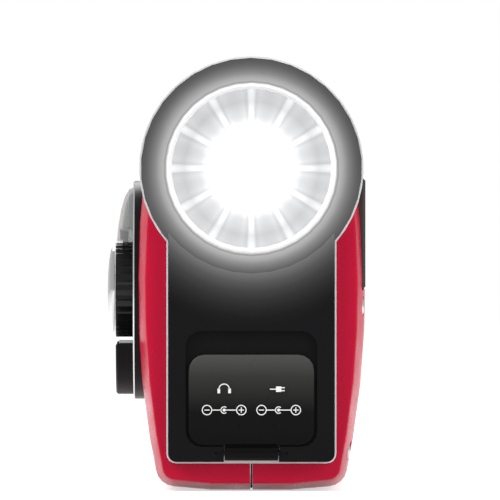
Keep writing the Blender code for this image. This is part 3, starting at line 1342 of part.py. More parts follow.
def volume_knob(axis):
    """The small ribbed volume knob and its shaft."""
    face = side_y(VOLUME_HEIGHT)
    front = -face - FIT_GAP - VOLUME_THICKNESS
    knob = plate("Y", ribbed_outline(VOLUME_RADIUS, KNOB_RIB_DEPTH, VOLUME_RIBS, (COLUMN_X, VOLUME_HEIGHT)),
                 VOLUME_THICKNESS, (0, front, 0))
    pointer = block((COLUMN_X - SINK * HALF, front - SINK, VOLUME_HEIGHT + VOLUME_RADIUS * HALF),
                    (COLUMN_X + SINK * HALF, front + SINK, VOLUME_HEIGHT + VOLUME_RADIUS - SINK))
    end = POT_FRONT_Y + SINK * 2
    join(knob, rod("Y", SHAFT_RADIUS, front + SINK, end - front - SINK, (COLUMN_X, 0, VOLUME_HEIGHT)), pointer)
    as_part(knob, "volume_knob", "black_satin")
    return place(knob, knob.location.copy(), axis)


POT_BACK_Y = BOARD_Y - BOARD_THICKNESS - FIT_GAP
POT_FRONT_Y = POT_BACK_Y - POT_DEPTH


def volume_pot():
    """The volume potentiometer's case between the knob's shaft and the main board."""
    half = POT_SIDE * HALF
    body = block((COLUMN_X - half, POT_FRONT_Y, BOARD_TOP - POT_SIDE),
                 (COLUMN_X + half, POT_BACK_Y, VOLUME_HEIGHT + half))
    cut(body, rod("Y", SHAFT_RADIUS + RUN_GAP, POT_FRONT_Y - CUT_OVERRUN, CUT_OVERRUN + SINK * 3,
                  (COLUMN_X, 0, VOLUME_HEIGHT)))
    return body


def flange_front(height):
    """Where a flange at a height clears the shell's inner face, which bows inwards above and below it."""
    reach = ALERT_RADIUS + ALERT_FLANGE
    nearest = min(side_y(height - reach), side_y(height + reach))
    return -nearest + CASE_WALL + FIT_GAP


def plunger(name, outlines, height, axis):
    """A button or slider: the part that shows, and the flange that keeps it behind the shell."""
    shown, flange, front = outlines
    behind = flange_front(height)
    joined = plate("Y", shown, behind - front + SINK, (0, front, 0))
    join(joined, plate("Y", flange, ALERT_FLANGE, (0, behind, 0)))
    as_part(joined, name, "button_grey")
    return place(joined, joined.location.copy(), axis)


def alert_button(axis):
    """The round alert button, which is pressed towards the board."""
    centre = (COLUMN_X, ALERT_HEIGHT)
    front = -side_y(ALERT_HEIGHT) - ALERT_PROUD
    flange = circle(ALERT_RADIUS + ALERT_FLANGE, ROUND_STEPS, centre)
    return plunger("alert_button", (circle(ALERT_RADIUS, ROUND_STEPS, centre), flange, front), ALERT_HEIGHT, axis)


def light_switch(axis):
    """The lamp's slide switch, at the left end of its slot at rest."""
    left = COLUMN_X - (SWITCH_LENGTH + SWITCH_TRAVEL) * HALF
    half = SWITCH_WIDTH * HALF
    front = -side_y(SWITCH_HEIGHT) - SWITCH_PROUD
    shown = rounded_box((left, SWITCH_HEIGHT - half), (left + SWITCH_LENGTH, SWITCH_HEIGHT + half), SINK)
    flange = rounded_box((left - ALERT_FLANGE, SWITCH_HEIGHT - half - ALERT_FLANGE),
                         (left + SWITCH_LENGTH + ALERT_FLANGE, SWITCH_HEIGHT + half + ALERT_FLANGE), SINK)
    return plunger("light_switch", (shown, flange, front), SWITCH_HEIGHT, axis)


def control_board():
    """The narrow board with the two switches, held off the shell just behind their flanges."""
    front = max(flange_front(ALERT_HEIGHT), flange_front(SWITCH_HEIGHT)) + ALERT_FLANGE + ALERT_TRAVEL + FIT_GAP
    half = SWITCH_LENGTH
    low = SWITCH_HEIGHT - SWITCH_LENGTH
    body = block((COLUMN_X - half, front, low), (COLUMN_X + half, front + BOARD_THICKNESS, ALERT_HEIGHT + half))
    stem = block((COLUMN_X - half * HALF, front + SINK, low),
                 (COLUMN_X + half * HALF, BOARD_Y - BOARD_THICKNESS - FIT_GAP, low + BOARD_THICKNESS * 2))
    join(body, stem, volume_pot())
    return as_part(body, "control_board", "board_green")


def light_outline(margin):
    """The oblong lens over the two small lights, grown by a margin."""
    half = (LIGHT_SPACING * HALF) + LIGHT_RADIUS + margin
    tall = LIGHT_RADIUS + margin
    low, high = (COLUMN_X - half, LIGHT_HEIGHT - tall), (COLUMN_X + half, LIGHT_HEIGHT + tall)
    return rounded_box(low, high, tall - SINK * HALF)


def indicator_lights():
    """The red lens bar over the two small lights above the volume knob."""
    front = -side_y(LIGHT_HEIGHT) - LIGHT_PROUD
    bar = plate("Y", light_outline(0), LIGHT_DEPTH, (0, front, 0))
    soften(bar, LIGHT_PROUD * HALF, 1)
    return as_part(bar, "indicator_lights", "light_red")


def board_post_places():
    """Where the board's three posts stand, as (x, height)."""
    inset = POST_RADIUS * 2
    middle = (BOARD_LEFT + BOARD_RIGHT) * HALF
    return [(x, BOARD_BOTTOM + inset) for x in (BOARD_LEFT + inset, middle, BOARD_RIGHT - inset)]


def main_board():
    """The main circuit board, upright behind the controls."""
    board = block((BOARD_LEFT, BOARD_Y - BOARD_THICKNESS, BOARD_BOTTOM), (BOARD_RIGHT, BOARD_Y, BOARD_TOP))
    return as_part(board, "main_board", "board_green")


def crank_at(y=0, reach=0):
    """A place on the crank's axis, or a reach along its arm, which lies along +X at rest."""
    return (CRANK_X + reach, y, CRANK_HEIGHT)


def crank_dish():
    """The black dish sunk in the back, trimmed flush with the bowed case."""
    wall = DISH_RADIUS - DISH_WALL
    profile = [(0, DISH_BACK_Y), (DISH_RADIUS, DISH_BACK_Y), (DISH_RADIUS, CASE_DEPTH),
               (wall, CASE_DEPTH), (wall, CRANK_FLOOR_Y), (0, CRANK_FLOOR_Y)]
    dish = turned("Y", profile, crank_at(), FINE_STEPS)
    cut(dish, rod("Y", CRANK_SHAFT_RADIUS + RUN_GAP, DISH_BACK_Y - CUT_OVERRUN, DISH_DEPTH, crank_at()))
    keep(dish, case_block())
    return as_part(dish, "crank_dish", "black_satin")


ARM_LOW_Y = CRANK_FLOOR_Y + RUN_GAP * 3
ARM_TOP_Y = CASE_HALF_DEPTH - CRANK_SINK
RAIL_LOW_Y = ARM_TOP_Y - CRANK_RAIL_THICKNESS
CARRIER_Y = ARM_TOP_Y - CRANK_RAIL_THICKNESS * HALF


def crank_arm(axis):
    """Hub, shaft and two rails that hold the folding grip between their tips."""
    hub = turned("Y", [(0, ARM_TOP_Y), (CRANK_HUB_RADIUS - SINK, ARM_TOP_Y), (CRANK_HUB_RADIUS, ARM_TOP_Y - SINK),
                       (CRANK_HUB_RADIUS, ARM_LOW_Y), (0, ARM_LOW_Y)], crank_at(), ROUND_STEPS)
    gear_shaft = rod("Y", CRANK_SHAFT_RADIUS, GEAR_FRAME_LOW_Y, ARM_LOW_Y + SINK - GEAR_FRAME_LOW_Y, crank_at())
    half = CRANK_FORK_WIDTH * HALF
    tip = CRANK_THROW + CARRIER_LENGTH
    rails = []
    for sign in (-1, 1):
        low, high = sorted((sign * half, sign * (half + CRANK_RAIL_WIDTH)))
        start = CRANK_X if abs(low) < CRANK_HUB_RADIUS else CRANK_X + SINK
        rail = plate("Y", rounded_box((start, CRANK_HEIGHT + low), (CRANK_X + tip, CRANK_HEIGHT + high),
                                      CRANK_RAIL_WIDTH * HALF - SINK * HALF), CRANK_RAIL_THICKNESS, (0, RAIL_LOW_Y, 0))
        rails.append(rail)
    web = block((CRANK_X, RAIL_LOW_Y, CRANK_HEIGHT - half - SINK),
                (CRANK_X + CRANK_HUB_RADIUS, ARM_TOP_Y - SINK * HALF, CRANK_HEIGHT + half + SINK))
    join(hub, gear_shaft, web, *rails)
    pin = rod("Z", CARRIER_PIN_RADIUS + RUN_GAP, CRANK_HEIGHT - half - CRANK_RAIL_WIDTH * HALF,
              CRANK_FORK_WIDTH + CRANK_RAIL_WIDTH, crank_at(CARRIER_Y, CRANK_THROW), TINY_STEPS)
    cut(hub, pin)
    as_part(hub, "crank_arm", "black_satin")
    return place(hub, crank_at(), axis)


def knob_carrier(axis):
    """The folding block between the rails, with its cross pin and the spindle that the grip turns on."""
    half = CRANK_FORK_WIDTH * HALF - RUN_GAP
    thick = CARRIER_THICKNESS * HALF
    back = CRANK_X + CRANK_THROW - CARRIER_LENGTH * HALF
    body = block((back, CARRIER_Y - thick, CRANK_HEIGHT - half),
                 (back + CARRIER_LENGTH, CARRIER_Y + thick, CRANK_HEIGHT + half))
    pin_length = CRANK_FORK_WIDTH + CRANK_RAIL_WIDTH - RUN_GAP * 2
    pin = rod("Z", CARRIER_PIN_RADIUS, CRANK_HEIGHT - pin_length * HALF, pin_length,
              crank_at(CARRIER_Y, CRANK_THROW), TINY_STEPS)
    spindle_end = back - RUN_GAP - GRIP_KNOB_LENGTH - RUN_GAP - SPINDLE_HEAD_THICKNESS
    spindle = rod("X", SPINDLE_RADIUS, spindle_end + SINK * HALF, back + SINK * 2 - spindle_end,
                  (0, CARRIER_Y, CRANK_HEIGHT), TINY_STEPS)
    head = rod("X", SPINDLE_HEAD_RADIUS, spindle_end, SPINDLE_HEAD_THICKNESS, (0, CARRIER_Y, CRANK_HEIGHT))
    join(body, pin, spindle, head)
    as_part(body, "knob_carrier", "steel")
    return place(body, body.location.copy(), axis)


def crank_grip(axis):
    """The rounded barrel that the fingers hold, free to spin on its spindle."""
    end = CRANK_X + CRANK_THROW - CARRIER_LENGTH * HALF - RUN_GAP
    start = end - GRIP_KNOB_LENGTH
    waist = GRIP_KNOB_RADIUS - SINK * HALF
    profile = [(GRIP_KNOB_BORE, start), (GRIP_KNOB_RADIUS - SINK, start), (GRIP_KNOB_RADIUS, start + SINK),
               (waist, (start + end) * HALF), (GRIP_KNOB_RADIUS, end - SINK), (GRIP_KNOB_RADIUS - SINK, end),
               (GRIP_KNOB_BORE, end)]
    grip = turned("X", profile, (0, CARRIER_Y, CRANK_HEIGHT), SMALL_STEPS + SMALL_STEPS // 2, closed=True)
    as_part(grip, "crank_grip", "black_matte")
    return place(grip, (0, CARRIER_Y, CRANK_HEIGHT), axis)


def gear_outline(teeth, centre, turn=0):
    """A spur gear's outline: four points a tooth, its flanks thinned by the backlash."""
    pitch_radius = GEAR_MODULE * teeth * HALF
    tip = pitch_radius + GEAR_MODULE * GEAR_ADDENDUM_SHARE
    root = pitch_radius - GEAR_MODULE * GEAR_DEDENDUM_SHARE
    pitch_angle = math.tau / teeth
    thin = GEAR_BACKLASH / pitch_radius
    points = []
    for i in range(teeth):
        middle = turn + pitch_angle * i
        for radius, share in ((root, TOOTH_ROOT_SHARE), (tip, TOOTH_TIP_SHARE),
                              (tip, -TOOTH_TIP_SHARE), (root, -TOOTH_ROOT_SHARE)):
            angle = middle - pitch_angle * share + math.copysign(thin * HALF, share)
            points.append((centre[0] + radius * math.cos(angle), centre[1] + radius * math.sin(angle)))
    return points


def drive_gear(axis):
    """The large gear on the crank's shaft, a tooth of it pointing at the idler."""
    outline = gear_outline(DRIVE_TEETH, (CRANK_X, CRANK_HEIGHT), IDLER_BEARING)
    bore = circle(CRANK_SHAFT_RADIUS + FIT_GAP, SMALL_STEPS, (CRANK_X, CRANK_HEIGHT))
    gear = plate("Y", outline, DRIVE_GEAR_THICKNESS, (0, DRIVE_GEAR_LOW_Y, 0), [bore])
    as_part(gear, "drive_gear", "gear_white")
    return place(gear, gear.location.copy(), axis)


def idler_turns():
    """Turn of the idler's pinion and of its large gear, so that both are in mesh at rest."""
    pinion = IDLER_BEARING + math.pi + math.pi / IDLER_SMALL_TEETH
    large = ROTOR_BEARING
    return pinion, large


def idler_gear(axis):
    """The stepped idler: a pinion driven by the crank's gear, and a large gear that drives the rotor."""
    centre = (IDLER_X, IDLER_HEIGHT)
    pinion_turn, large_turn = idler_turns()
    pinion = plate("Y", gear_outline(IDLER_SMALL_TEETH, centre, pinion_turn),
                   DRIVE_GEAR_THICKNESS + RUN_GAP + SINK, (0, IDLER_GEAR_TOP_Y - SINK, 0))
    large = plate("Y", gear_outline(IDLER_LARGE_TEETH, centre, large_turn), IDLER_GEAR_THICKNESS,
                  (0, IDLER_GEAR_LOW_Y, 0))
    join(large, pinion)
    cut(large, rod("Y", AXLE_RADIUS + RUN_GAP, IDLER_GEAR_LOW_Y - CUT_OVERRUN,
                   DRIVE_GEAR_TOP_Y - IDLER_GEAR_LOW_Y + CUT_OVERRUN * 2, (IDLER_X, 0, IDLER_HEIGHT), TINY_STEPS))
    as_part(large, "idler_gear", "gear_white")
    return place(large, large.location.copy(), axis)


DYNAMO_FRONT_Y = GEAR_FRAME_LOW_Y - FIT_GAP
DYNAMO_BACK_Y = DYNAMO_FRONT_Y - DYNAMO_DEPTH


def rotor(axis):
    """The dynamo's magnet drum, its shaft and its pinion."""
    centre = (ROTOR_X, ROTOR_HEIGHT)
    turn = ROTOR_BEARING + math.pi + math.pi / ROTOR_TEETH
    pinion = plate("Y", gear_outline(ROTOR_TEETH, centre, turn), IDLER_GEAR_THICKNESS, (0, IDLER_GEAR_LOW_Y, 0))
    drum_back = DYNAMO_BACK_Y + DYNAMO_WALL + RUN_GAP * 2
    shaft = rod("Y", AXLE_RADIUS, drum_back + SINK, IDLER_GEAR_LOW_Y + SINK - drum_back - SINK,
                (ROTOR_X, 0, ROTOR_HEIGHT), TINY_STEPS)
    drum = rod("Y", ROTOR_RADIUS, drum_back, ROTOR_LENGTH, (ROTOR_X, 0, ROTOR_HEIGHT), ROUND_STEPS)
    join(pinion, shaft, drum)
    as_part(pinion, "dynamo_rotor", "steel")
    return place(pinion, pinion.location.copy(), axis)


def dynamo_body():
    """The dynamo's cup, open towards the gear frame that closes it."""
    inner = DYNAMO_RADIUS - DYNAMO_WALL
    profile = [(0, DYNAMO_BACK_Y), (DYNAMO_RADIUS, DYNAMO_BACK_Y), (DYNAMO_RADIUS, DYNAMO_FRONT_Y),
               (inner, DYNAMO_FRONT_Y), (inner, DYNAMO_BACK_Y + DYNAMO_WALL), (0, DYNAMO_BACK_Y + DYNAMO_WALL)]
    cup = turned("Y", profile, (ROTOR_X, 0, ROTOR_HEIGHT), ROUND_STEPS)
    return as_part(cup, "dynamo_body", "steel")


def frame_post_places():
    """Where the gear frame's posts reach the dish's floor, clear of every gear, as (x, height)."""
    reach = DISH_RADIUS - POST_RADIUS * 2
    bearings = (math.radians(125), math.radians(180), math.radians(235))
    return [(CRANK_X + reach * math.cos(a), CRANK_HEIGHT + reach * math.sin(a)) for a in bearings]


def gear_frame():
    """The plate that carries the idler's axle and the dynamo, on posts from the dish's back."""
    posts = frame_post_places()
    margin = GEAR_FRAME_MARGIN
    left = min(x for x, _ in posts) - margin
    right = ROTOR_X + DYNAMO_RADIUS
    low = min(z for _, z in posts) - margin * HALF
    high = max(max(z for _, z in posts) + margin * HALF, ROTOR_HEIGHT + DYNAMO_RADIUS)
    centre = (ROTOR_X, ROTOR_HEIGHT)
    shaft_hole = circle(AXLE_RADIUS + RUN_GAP, TINY_STEPS, centre)
    crank_hole = circle(CRANK_SHAFT_RADIUS + RUN_GAP, SMALL_STEPS, (CRANK_X, CRANK_HEIGHT))
    frame = plate("Y", rounded_box((left, low), (right, high), margin), GEAR_FRAME_THICKNESS,
                  (0, GEAR_FRAME_LOW_Y, 0), [shaft_hole, crank_hole])
    end = DISH_BACK_Y - FIT_GAP
    start = GEAR_FRAME_LOW_Y + SINK
    made = [rod("Y", POST_RADIUS, start, end - start, (x, 0, z), TINY_STEPS) for x, z in posts]
    made.append(rod("Y", AXLE_RADIUS, start, end - start, (IDLER_X, 0, IDLER_HEIGHT), TINY_STEPS))
    join(frame, *made)
    return as_part(frame, "gear_frame", "steel")


def door_block(margin, low_y, high_y):
    """A round cornered block through the back wall at the battery door."""
    half = DOOR_LENGTH * HALF + margin
    outline = rounded_box((DOOR_X - half, DOOR_BOTTOM - margin), (DOOR_X + half, DOOR_TOP + margin),
                          DOOR_CORNER_RADIUS + margin)
    return plate("Y", outline, high_y - low_y, (0, low_y, 0))


def battery_door(axis):
    """The lift-off door, a piece of the case's own bowed wall with a thumb notch."""
    door = case_block()
    cut(door, case_block(CASE_WALL, CASE_END - CASE_WALL, EASE_STEPS - 1))
    keep(door, door_block(0, CRANK_FLOOR_Y, CASE_DEPTH))
    top = DOOR_TOP - SINK * 2
    face = side_y(top)
    notch = plate("Y", rounded_box((DOOR_X - DOOR_NOTCH_LENGTH * HALF, top - DOOR_NOTCH_WIDTH),
                                   (DOOR_X + DOOR_NOTCH_LENGTH * HALF, top), DOOR_NOTCH_WIDTH * HALF - SINK * HALF),
                  CASE_DEPTH, (0, face - DOOR_NOTCH_DEPTH, 0))
    cut(door, notch)
    as_part(door, "battery_door", "red_plastic")
    return place(door, (0, 0, 0), axis)


def cell_rows():
    """Heights of the three cells in the battery bay, pressed side to side."""
    middle = (DOOR_BOTTOM + DOOR_TOP) * HALF
    pitch = CELL_RADIUS * 2 - CELL_SQUEEZE
    return [middle + (i - (CELL_COUNT - 1) * HALF) * pitch for i in range(CELL_COUNT)]


def cells_y():
    """Y of the cells' axes, on the tray's floor."""
    return TRAY_FLOOR + TRAY_WALL + FIT_GAP + CELL_RADIUS


def battery_tray():
    """The tray behind the door, open to the back, with its mouth just inside the door."""
    half = CELL_LENGTH * HALF + CELL_BUTTON_LENGTH + FIT_GAP * 2
    rows = cell_rows()
    low = rows[0] - CELL_RADIUS - FIT_GAP
    high = rows[-1] + CELL_RADIUS + FIT_GAP
    wall = TRAY_WALL
    mouth = side_y(low) - CASE_WALL - FIT_GAP * 3
    tray = block((DOOR_X - half - wall, TRAY_FLOOR, low - wall), (DOOR_X + half + wall, mouth, high + wall))
    cut(tray, block((DOOR_X - half, TRAY_FLOOR + wall, low), (DOOR_X + half, CASE_DEPTH, high)))
    return as_part(tray, "battery_tray", "black_matte")


def aa_cells():
    """Three AA cells side by side, each turned end for end from its neighbour."""
    made = []
    for i, height in enumerate(cell_rows()):
        half = CELL_LENGTH * HALF
        neck = half - CELL_BUTTON_LENGTH
        profile = [(0, half), (CELL_BUTTON_RADIUS, half), (CELL_BUTTON_RADIUS, neck), (CELL_RADIUS, neck),
                   (CELL_RADIUS, -half), (0, -half)]
        if i % 2:
            profile = [(radius, -along) for radius, along in profile]
        made.append(turned("X", profile, (DOOR_X, cells_y(), height), SMALL_STEPS))
    return as_part(join(made[0], *made[1:]), "aa_cells", "cell_sleeve")


def mount_block(margin, high_y):
    """The antenna mount's block, through the back wall and up to the case's top."""
    half = MOUNT_LENGTH * HALF + margin
    middle = ANTENNA_X + MOUNT_LENGTH * HALF - KNUCKLE_RADIUS * 2
    return block((middle - half, MOUNT_INNER_Y - margin, MOUNT_BOTTOM - margin),
                 (middle + half, high_y, MOUNT_TOP + margin + (CUT_OVERRUN if margin else 0)))


def antenna_mount():
    """The black block let into the rear top edge, bored for the antenna's post."""
    mount = mount_block(0, MOUNT_OUTER_Y)
    soften(mount, SINK, 1)
    cut(mount, lamp_clearance(), rod("Z", KNUCKLE_POST_RADIUS + RUN_GAP, MOUNT_TOP - KNUCKLE_POST_LENGTH - RUN_GAP,
                                     CASE_DEPTH, (ANTENNA_X, ANTENNA_Y, 0)))
    return as_part(mount, "antenna_mount", "black_gloss")


def antenna_knuckle(axis):
    """The turning post with its forked head and cross pin."""
    low = MOUNT_TOP + RUN_GAP
    high = ANTENNA_HEIGHT + KNUCKLE_RADIUS
    head = rod("Z", KNUCKLE_RADIUS, low, high - low, (ANTENNA_X, ANTENNA_Y, 0), ROUND_STEPS)
    join(head, rod("Z", KNUCKLE_POST_RADIUS, MOUNT_TOP - KNUCKLE_POST_LENGTH, KNUCKLE_POST_LENGTH + SINK * 2,
                   (ANTENNA_X, ANTENNA_Y, 0)))
    half = KNUCKLE_SLOT * HALF
    floor = ANTENNA_HEIGHT - TONGUE_RADIUS - RUN_GAP * 2
    reach = KNUCKLE_RADIUS + CUT_OVERRUN
    cut(head, block((ANTENNA_X - reach, ANTENNA_Y - half, floor), (ANTENNA_X + reach, ANTENNA_Y + half, high + SINK)))
    join(head, rod("Y", PIVOT_PIN_RADIUS, ANTENNA_Y - half - SINK, KNUCKLE_SLOT + SINK * 2,
                   (ANTENNA_X, 0, ANTENNA_HEIGHT), TINY_STEPS))
    as_part(head, "antenna_knuckle", "chrome")
    return place(head, head.location.copy(), axis)


def tube_start(index):
    """Station of a tube's end nearest the knuckle; the inner ones start past the first tube's solid neck."""
    neck = TUBE_STEP if index else 0
    return ANTENNA_X - TONGUE_LENGTH - neck - TUBE_STEP * index * HALF


def antenna_tube(index, axis):
    """One telescoping tube; the first has the flat tongue, the last is a rod with a tip."""
    radius = TUBE_RADII[index]
    start = tube_start(index)
    length = TUBE_LENGTH + TUBE_SHOW * index
    end = start - length
    at = (0, ANTENNA_Y, ANTENNA_HEIGHT)
    if index == len(TUBE_RADII) - 1:
        tip = end - TIP_LENGTH
        profile = [(0, start), (radius, start), (radius, end), (TIP_RADIUS - SINK, end), (TIP_RADIUS, end - SINK),
                   (TIP_RADIUS, tip + SINK), (TIP_RADIUS - SINK, tip), (0, tip)]
        tube = turned("X", profile, at, SMALL_STEPS)
    else:
        inner = radius - TUBE_WALL
        collar = radius - TUBE_WALL
        profile = [(inner, start), (radius, start), (radius, end), (collar, end)]
        if index == 0:
            neck = start - TUBE_STEP
            profile = [(0, start), (radius, start), (radius, end), (inner, end), (inner, neck), (0, neck)]
        tube = turned("X", profile, at, SMALL_STEPS, closed=index > 0)
    if index == 0:
        half = TONGUE_THICKNESS * HALF
        outline = rounded_box((tube_start(0) - SINK, ANTENNA_HEIGHT - TONGUE_RADIUS),
                              (ANTENNA_X + TONGUE_RADIUS, ANTENNA_HEIGHT + TONGUE_RADIUS), TONGUE_RADIUS - SINK * HALF)
        join(tube, plate("Y", outline, TONGUE_THICKNESS, (0, ANTENNA_Y - half, 0)))
        cut(tube, rod("Y", PIVOT_PIN_RADIUS + RUN_GAP, ANTENNA_Y - TUBE_STEP, TUBE_STEP * 2,
                      (ANTENNA_X, 0, ANTENNA_HEIGHT), TINY_STEPS))
    as_part(tube, "antenna_tip" if index == len(TUBE_RADII) - 1 else f"antenna_tube_{index + 1}", "chrome")
    return place(tube, at, axis)


def antenna_rest():
    """The small cradle on the rear top edge, open to the back and the top."""
    floor_top = ANTENNA_HEIGHT - TUBE_RADII[0] - RUN_GAP
    inner = ANTENNA_Y - TUBE_RADII[0] - RUN_GAP
    low = CASE_TOP + FIT_GAP
    left, right = REST_X, REST_X + REST_LENGTH
    outline = [(inner - REST_THICKNESS, low), (ANTENNA_Y, low), (ANTENNA_Y, floor_top), (inner, floor_top),
               (inner, ANTENNA_HEIGHT), (inner - REST_THICKNESS, ANTENNA_HEIGHT)]
    cradle = plate("X", outline, right - left, (left, 0, 0))
    trimmed = case_block(-FIT_GAP)
    cut(cradle, trimmed)
    return as_part(cradle, "antenna_rest", "black_gloss")


def ferrite_rod():
    """The AM antenna's ferrite rod, up under the case's top, and its coil."""
    at = (0, FERRITE_Y, CASE_TOP - CASE_WALL - FIT_GAP - COIL_RADIUS)
    start = FERRITE_X - FERRITE_LENGTH * HALF
    bar = rod("X", FERRITE_RADIUS, start, FERRITE_LENGTH, at)
    join(bar, rod("X", COIL_RADIUS, FERRITE_X - COIL_LENGTH * HALF, COIL_LENGTH, at))
    return as_part(bar, "ferrite_rod", "ferrite")


def rechargeable_pack():
    """The shrink wrapped pack of three small cells, against the back of the battery tray."""
    middle = (DOOR_BOTTOM + DOOR_TOP) * HALF
    y = TRAY_FLOOR - FIT_GAP - PACK_RADIUS
    half = PACK_LENGTH * HALF
    pitch = PACK_RADIUS * 2
    low = middle - (PACK_CELLS - 1) * HALF * pitch
    outline = arc(PACK_RADIUS, math.pi, math.tau, TINY_STEPS, (y, low))
    outline += arc(PACK_RADIUS, 0, math.pi, TINY_STEPS, (y, low + (PACK_CELLS - 1) * pitch))
    pack = plate("X", outline, half * 2, (PACK_X - half, 0, 0))
    return as_part(pack, "rechargeable_pack", "pack_sleeve")


def build():
    """Make every finish and every piece, with an empty on each joint's axis."""
    clear_scene()
    make_material("red_plastic", (0.50, 0.012, 0.040), 0.35)
    make_material("black_gloss", (0.012, 0.012, 0.014), 0.18)
    make_material("black_satin", (0.020, 0.020, 0.022), 0.35)
    make_material("black_matte", (0.025, 0.025, 0.027), 0.60)
    make_material("rubber", (0.030, 0.030, 0.032), 0.85)
    make_material("seal_white", (0.85, 0.85, 0.86), 0.45)
    make_material("chrome", (0.82, 0.82, 0.84), 0.12, 1.0)
    make_material("steel", (0.55, 0.55, 0.56), 0.35, 1.0)
    make_material("clear_plastic", (0.92, 0.94, 0.95), 0.05, 0.0, 0.3)
    make_material("smoked_plastic", (0.30, 0.32, 0.33), 0.10, 0.0, 0.5)
    make_material("reflector_silver", (0.90, 0.90, 0.92), 0.08, 1.0)
    make_material("led_white", (0.95, 0.95, 0.90), 0.30)
    make_material("light_red", (0.70, 0.04, 0.03), 0.25)
    make_material("dial_print", (0.030, 0.030, 0.032), 0.45)
    make_material("pointer_red", (0.75, 0.06, 0.03), 0.40)
    make_material("paper_black", (0.030, 0.030, 0.030), 0.90)
    make_material("button_grey", (0.35, 0.36, 0.37), 0.45)
    make_material("board_green", (0.020, 0.160, 0.070), 0.50)
    make_material("gear_white", (0.80, 0.80, 0.76), 0.45)
    make_material("cell_sleeve", (0.10, 0.12, 0.14), 0.35)
    make_material("pack_sleeve", (0.06, 0.22, 0.45), 0.40)
    make_material("ferrite", (0.045, 0.040, 0.038), 0.70)

    front_shell()
    rear_shell()
    screws()
    cap_gasket()
    end_cap()
    port_cover(pivot("port_cover_axis", (hinge_x(), 0, HINGE_HEIGHT)))
    cover_pin()
    jack("phone_jack", -1, PHONE_JACK_BORE, PHONE_JACK_PIN)
    jack("dc_jack", 1, DC_JACK_BORE, DC_JACK_PIN)
    lens_stack()
    tail_head()
    siren_speaker()
    carry_handle()
    handle_grip()

    dial_pod()
    dial_trim()
    dial_plate()
    dial_window()
    dial_pointer(pivot("pointer_axis", dial_at()))
    tuning_knob(pivot("tuning_axis", dial_at()))
    band_selector(pivot("selector_axis", dial_at()))
    tuning_capacitor()
    speaker_grille()
    speaker_unit()
    volume_knob(pivot("volume_axis", (COLUMN_X, 0, VOLUME_HEIGHT)))
    alert_button(pivot("alert_axis", (COLUMN_X, 0, ALERT_HEIGHT)))
    light_switch(pivot("switch_axis", (COLUMN_X, 0, SWITCH_HEIGHT)))
    control_board()
    indicator_lights()
    main_board()

    crank_dish()
    crank_axis = pivot("crank_axis", crank_at())
    crank_arm(crank_axis)
    drive_gear(crank_axis)
    fold_axis = pivot("fold_axis", crank_at(CARRIER_Y, CRANK_THROW), crank_axis)
    knob_carrier(fold_axis)
    crank_grip(pivot("grip_axis", crank_at(CARRIER_Y), fold_axis))
    idler_gear(pivot("idler_axis", (IDLER_X, 0, IDLER_HEIGHT)))
    rotor(pivot("rotor_axis", (ROTOR_X, 0, ROTOR_HEIGHT)))
    dynamo_body()
    gear_frame()
    battery_door(pivot("door_axis", (DOOR_X, 0, (DOOR_BOTTOM + DOOR_TOP) * HALF)))
    battery_tray()
    aa_cells()
    antenna_mount()
    turn_axis = pivot("antenna_turn_axis", (ANTENNA_X, ANTENNA_Y, ANTENNA_HEIGHT))
    antenna_knuckle(turn_axis)
    lift_axis = pivot("antenna_lift_axis", (ANTENNA_X, ANTENNA_Y, ANTENNA_HEIGHT), turn_axis)
    for index in range(len(TUBE_RADII)):
        antenna_tube(index, lift_axis)
    antenna_rest()
    ferrite_rod()
    rechargeable_pack()


build()
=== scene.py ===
"""Dresses the hand cranked weather radio: finishes for every solid, and the print and trim on them.

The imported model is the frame. Lengths are metres, +X is the lamp end, -Y the dial side and +Z up.
"""
import logging
import math
from dataclasses import dataclass, field
from enum import Enum
from typing import Optional, Sequence

import bmesh
import bpy
from mathutils import Matrix, Vector


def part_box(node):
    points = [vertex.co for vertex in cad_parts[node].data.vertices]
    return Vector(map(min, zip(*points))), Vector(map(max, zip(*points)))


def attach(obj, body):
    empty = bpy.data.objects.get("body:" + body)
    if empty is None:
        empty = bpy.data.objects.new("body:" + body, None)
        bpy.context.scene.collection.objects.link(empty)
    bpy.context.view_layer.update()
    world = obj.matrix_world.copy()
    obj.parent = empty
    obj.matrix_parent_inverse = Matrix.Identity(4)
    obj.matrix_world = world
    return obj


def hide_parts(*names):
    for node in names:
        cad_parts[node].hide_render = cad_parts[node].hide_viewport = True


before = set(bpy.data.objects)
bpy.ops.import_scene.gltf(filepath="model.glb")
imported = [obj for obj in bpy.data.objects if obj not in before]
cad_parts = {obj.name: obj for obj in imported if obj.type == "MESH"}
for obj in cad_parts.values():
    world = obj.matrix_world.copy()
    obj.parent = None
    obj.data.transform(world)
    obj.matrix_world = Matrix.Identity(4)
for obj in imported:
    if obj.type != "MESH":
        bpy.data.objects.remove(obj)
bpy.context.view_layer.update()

LOG = logging.getLogger("radio")
Color = tuple[float, float, float]
Point = tuple[float, float, float]
Flat = tuple[float, float]


class Facing(Enum):
    """Which way a printed mark looks, as the turn that lays flat work on that side."""

    FRONT = (math.pi / 2, 0.0, 0.0)
    BACK = (math.pi / 2, 0.0, math.pi)
    LAMP_END = (math.pi / 2, 0.0, math.pi / 2)
    TAIL_END = (math.pi / 2, 0.0, -math.pi / 2)
    TOP = (0.0, 0.0, 0.0)


class Grain(Enum):
    """The direction that brushing or moulding lines run in, as stretch factors along x, y and z."""

    NONE = (1.0, 1.0, 1.0)
    ALONG_X = (0.04, 1.0, 1.0)
    ALONG_Y = (1.0, 0.04, 1.0)
    ALONG_Z = (1.0, 1.0, 0.04)


